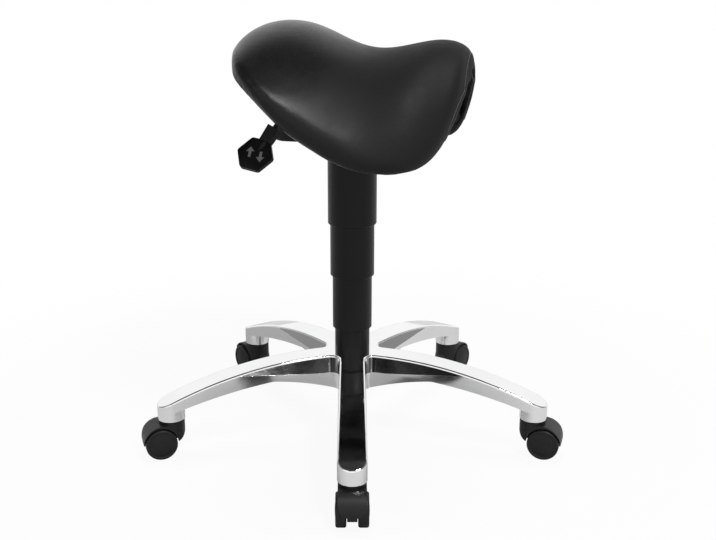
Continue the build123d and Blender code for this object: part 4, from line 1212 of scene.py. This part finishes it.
@dataclass
class TiltMechanism:
    """Housing, seat plate, pins and rubbers under the seat."""

    coated: tuple[str, ...] = ("cone_socket", "tilt_housing", "seat_plate")
    rubbers: tuple[str, ...] = ("tilt_bushes", "tilt_stops")
    plated: tuple[str, ...] = ("tilt_pins", "lever_pin", "seat_bolts", "seat_inserts")

    def dress(self, rack: FinishRack) -> None:
        """Powder-coat the pressings and finish the small pieces.

        Args:
            rack: Holder of the materials.
        """
        for name in self.coated:
            rack.coat_node(name, POWDER)
        for name in self.rubbers:
            rack.coat_node(name, RUBBER)
        for name in self.plated:
            rack.coat_node(name, STEEL)


# Studio


@dataclass
class Studio:
    """Pale floor, soft light and the camera of the photograph."""

    azimuth: float = -76.0
    distance: float = 1.739
    height: float = 0.822
    pitch: float = 17.45
    lens: float = 57.27
    sensor: float = 36.0
    shift: float = 0.008
    floor_size: float = 40.0
    floor_drop: float = 0.2 * MM
    floor_roughness: float = 0.9
    floor_specular: float = 0.1
    floor_colour: Colour = (0.52, 0.52, 0.52)
    mirrored_lift: float = 0.4
    floor_lift: float = 0.94
    shade_reach: tuple[float, float] = (0.45, 1.1)
    ceiling: float = 0.15
    side_walls: float = 0.25
    side_reach: tuple[float, float] = (0.3, 0.65)
    fade: tuple[float, float] = (0.68, 0.88)
    ambient: float = 0.2
    sun_place: Place = (0.29, 0.07, 1.0)
    sun_angle: float = 18.0
    sun_power: float = 2.0
    key_place: Place = (-0.95, -1.13, 2.54)
    key_size: tuple[float, float] = (0.42, 0.28)
    key_power: float = 50.0
    key_aim: Place = (0.0, 0.0, 0.4)

    def floor(self) -> None:
        """Lay a pale floor that keeps the shadow."""
        deselect_all()
        bpy.ops.mesh.primitive_plane_add(size=self.floor_size, location=(0, 0, -self.floor_drop))
        obj = name_piece("studio_floor")
        settle(obj)
        material = bpy.data.materials.new("studio_floor")
        material.use_nodes = True
        graph = Graph(material.node_tree)
        shader = material.node_tree.nodes["Principled BSDF"]
        graph.feed(shader, Base_Color=(*self.floor_colour, 1.0))
        graph.feed(shader, Roughness=self.floor_roughness, Specular_IOR_Level=self.floor_specular)
        glow = graph.add("ShaderNodeEmission")
        graph.feed(glow, Color=(1.0, 1.0, 1.0, 1.0), Strength=1.0)
        path = graph.add("ShaderNodeLightPath")
        place = graph.add("ShaderNodeTexCoord")
        reach = graph.add("ShaderNodeVectorMath", operation="LENGTH")
        graph.join(place.outputs["Object"], reach.inputs[0])
        seen = graph.remap(reach.outputs["Value"], self.shade_reach, (self.floor_lift, 1.0))
        mirrored = graph.remap(reach.outputs["Value"], self.shade_reach, (0.0, self.mirrored_lift))
        mirror = graph.maths("MAXIMUM", path.outputs["Is Glossy Ray"], path.outputs["Is Transmission Ray"])
        share = graph.maths(
            "ADD", graph.scaled(seen, path.outputs["Is Camera Ray"]), graph.scaled(mirrored, mirror)
        )
        blend = graph.add("ShaderNodeMixShader")
        graph.join(share, blend.inputs[0])
        graph.join(shader.outputs[0], blend.inputs[1])
        graph.join(glow.outputs[0], blend.inputs[2])
        graph.join(blend.outputs[0], material.node_tree.nodes["Material Output"].inputs["Surface"])
        obj.data.materials.append(material)

    def world(self) -> None:
        """Set a white backdrop that is mirrored under a dark ceiling, and plain light all round."""
        world = bpy.data.worlds.new("studio")
        bpy.context.scene.world = world
        world.use_nodes = True
        graph = Graph(world.node_tree)
        back = world.node_tree.nodes["Background"]
        place = graph.add("ShaderNodeTexCoord")
        rise = graph.axes(place.outputs["Generated"])["Z"]
        ceiling = graph.remap(rise, self.fade, (1.0, self.ceiling))
        turn = math.radians(self.azimuth)
        along = graph.add("ShaderNodeVectorMath", operation="DOT_PRODUCT")
        graph.join(place.outputs["Generated"], along.inputs[0])
        along.inputs[1].default_value = (math.sin(turn), -math.cos(turn), 0.0)
        ends = graph.maths("ABSOLUTE", along.outputs["Value"])
        ends = graph.remap(ends, self.side_reach, (self.side_walls, 1.0))
        path = graph.add("ShaderNodeLightPath")
        mirror = graph.maths("MAXIMUM", path.outputs["Is Glossy Ray"], path.outputs["Is Transmission Ray"])
        camera = path.outputs["Is Camera Ray"]
        seen = graph.maths("ADD", camera, graph.scaled(mirror, graph.scaled(ceiling, ends)))
        other = graph.maths("SUBTRACT", 1.0, graph.maths("MAXIMUM", mirror, camera))
        strength = graph.maths("ADD", seen, graph.scaled(other, self.ambient))
        graph.join(strength, back.inputs["Strength"])
        back.inputs["Color"].default_value = (1.0, 1.0, 1.0, 1.0)

    def key(self) -> None:
        """Hang one soft lamp that points at the stool."""
        data = bpy.data.lights.new("key_lamp", "AREA")
        data.shape = "RECTANGLE"
        data.size, data.size_y = self.key_size
        data.energy = self.key_power
        obj = bpy.data.objects.new("key_lamp", data)
        bpy.context.scene.collection.objects.link(obj)
        obj.location = self.key_place
        aim = Vector(self.key_aim) - Vector(self.key_place)
        obj.rotation_euler = aim.to_track_quat("-Z", "Y").to_euler()

    def sun(self) -> None:
        """Hang a broad overhead light, a little behind the stool, that shades the floor under it."""
        data = bpy.data.lights.new("overhead_light", "SUN")
        data.angle = math.radians(self.sun_angle)
        data.energy = self.sun_power
        obj = bpy.data.objects.new("overhead_light", data)
        bpy.context.scene.collection.objects.link(obj)
        obj.location = self.sun_place
        obj.rotation_euler = (-Vector(self.sun_place)).to_track_quat("-Z", "Y").to_euler()
        obj.visible_glossy = False

    def camera(self) -> None:
        """Set the camera at the photograph's angle."""
        data = bpy.data.cameras.new("photo_camera")
        data.lens = self.lens
        data.sensor_width = self.sensor
        data.shift_x = self.shift
        obj = bpy.data.objects.new("photo_camera", data)
        bpy.context.scene.collection.objects.link(obj)
        turn = math.radians(self.azimuth)
        obj.location = (self.distance * math.sin(turn), -self.distance * math.cos(turn), self.height)
        obj.rotation_euler = (math.radians(90 - self.pitch), 0, turn)
        bpy.context.scene.camera = obj

    def build(self) -> None:
        """Set up floor, light and camera."""
        self.floor()
        self.world()
        self.sun()
        self.key()
        self.camera()
        bpy.context.scene.view_settings.view_transform = "Standard"


def main() -> None:
    """Build and dress each sub-assembly, then the studio."""
    rack = FinishRack()
    saddle = SaddlePad()
    cover = saddle.build()
    saddle.dress(rack)
    LOG.info("saddle_cover has %d faces", len(cover.data.polygons))
    welt = FrontWelt()
    welt.build(cover)
    welt.dress(rack)
    LOG.info("front_welt has %d faces", len(welt.piece.data.polygons))
    sign = HeightLever()
    sign.build()
    sign.dress(rack)
    LOG.info("lever_sign has %d faces", len(sign.piece.data.polygons))
    StarBase().dress(rack)
    CasterSet().dress(rack)
    SleeveColumn().dress(rack)
    TiltMechanism().dress(rack)
    Studio().build()
    deselect_all()


if __name__ == "__main__":
    main()
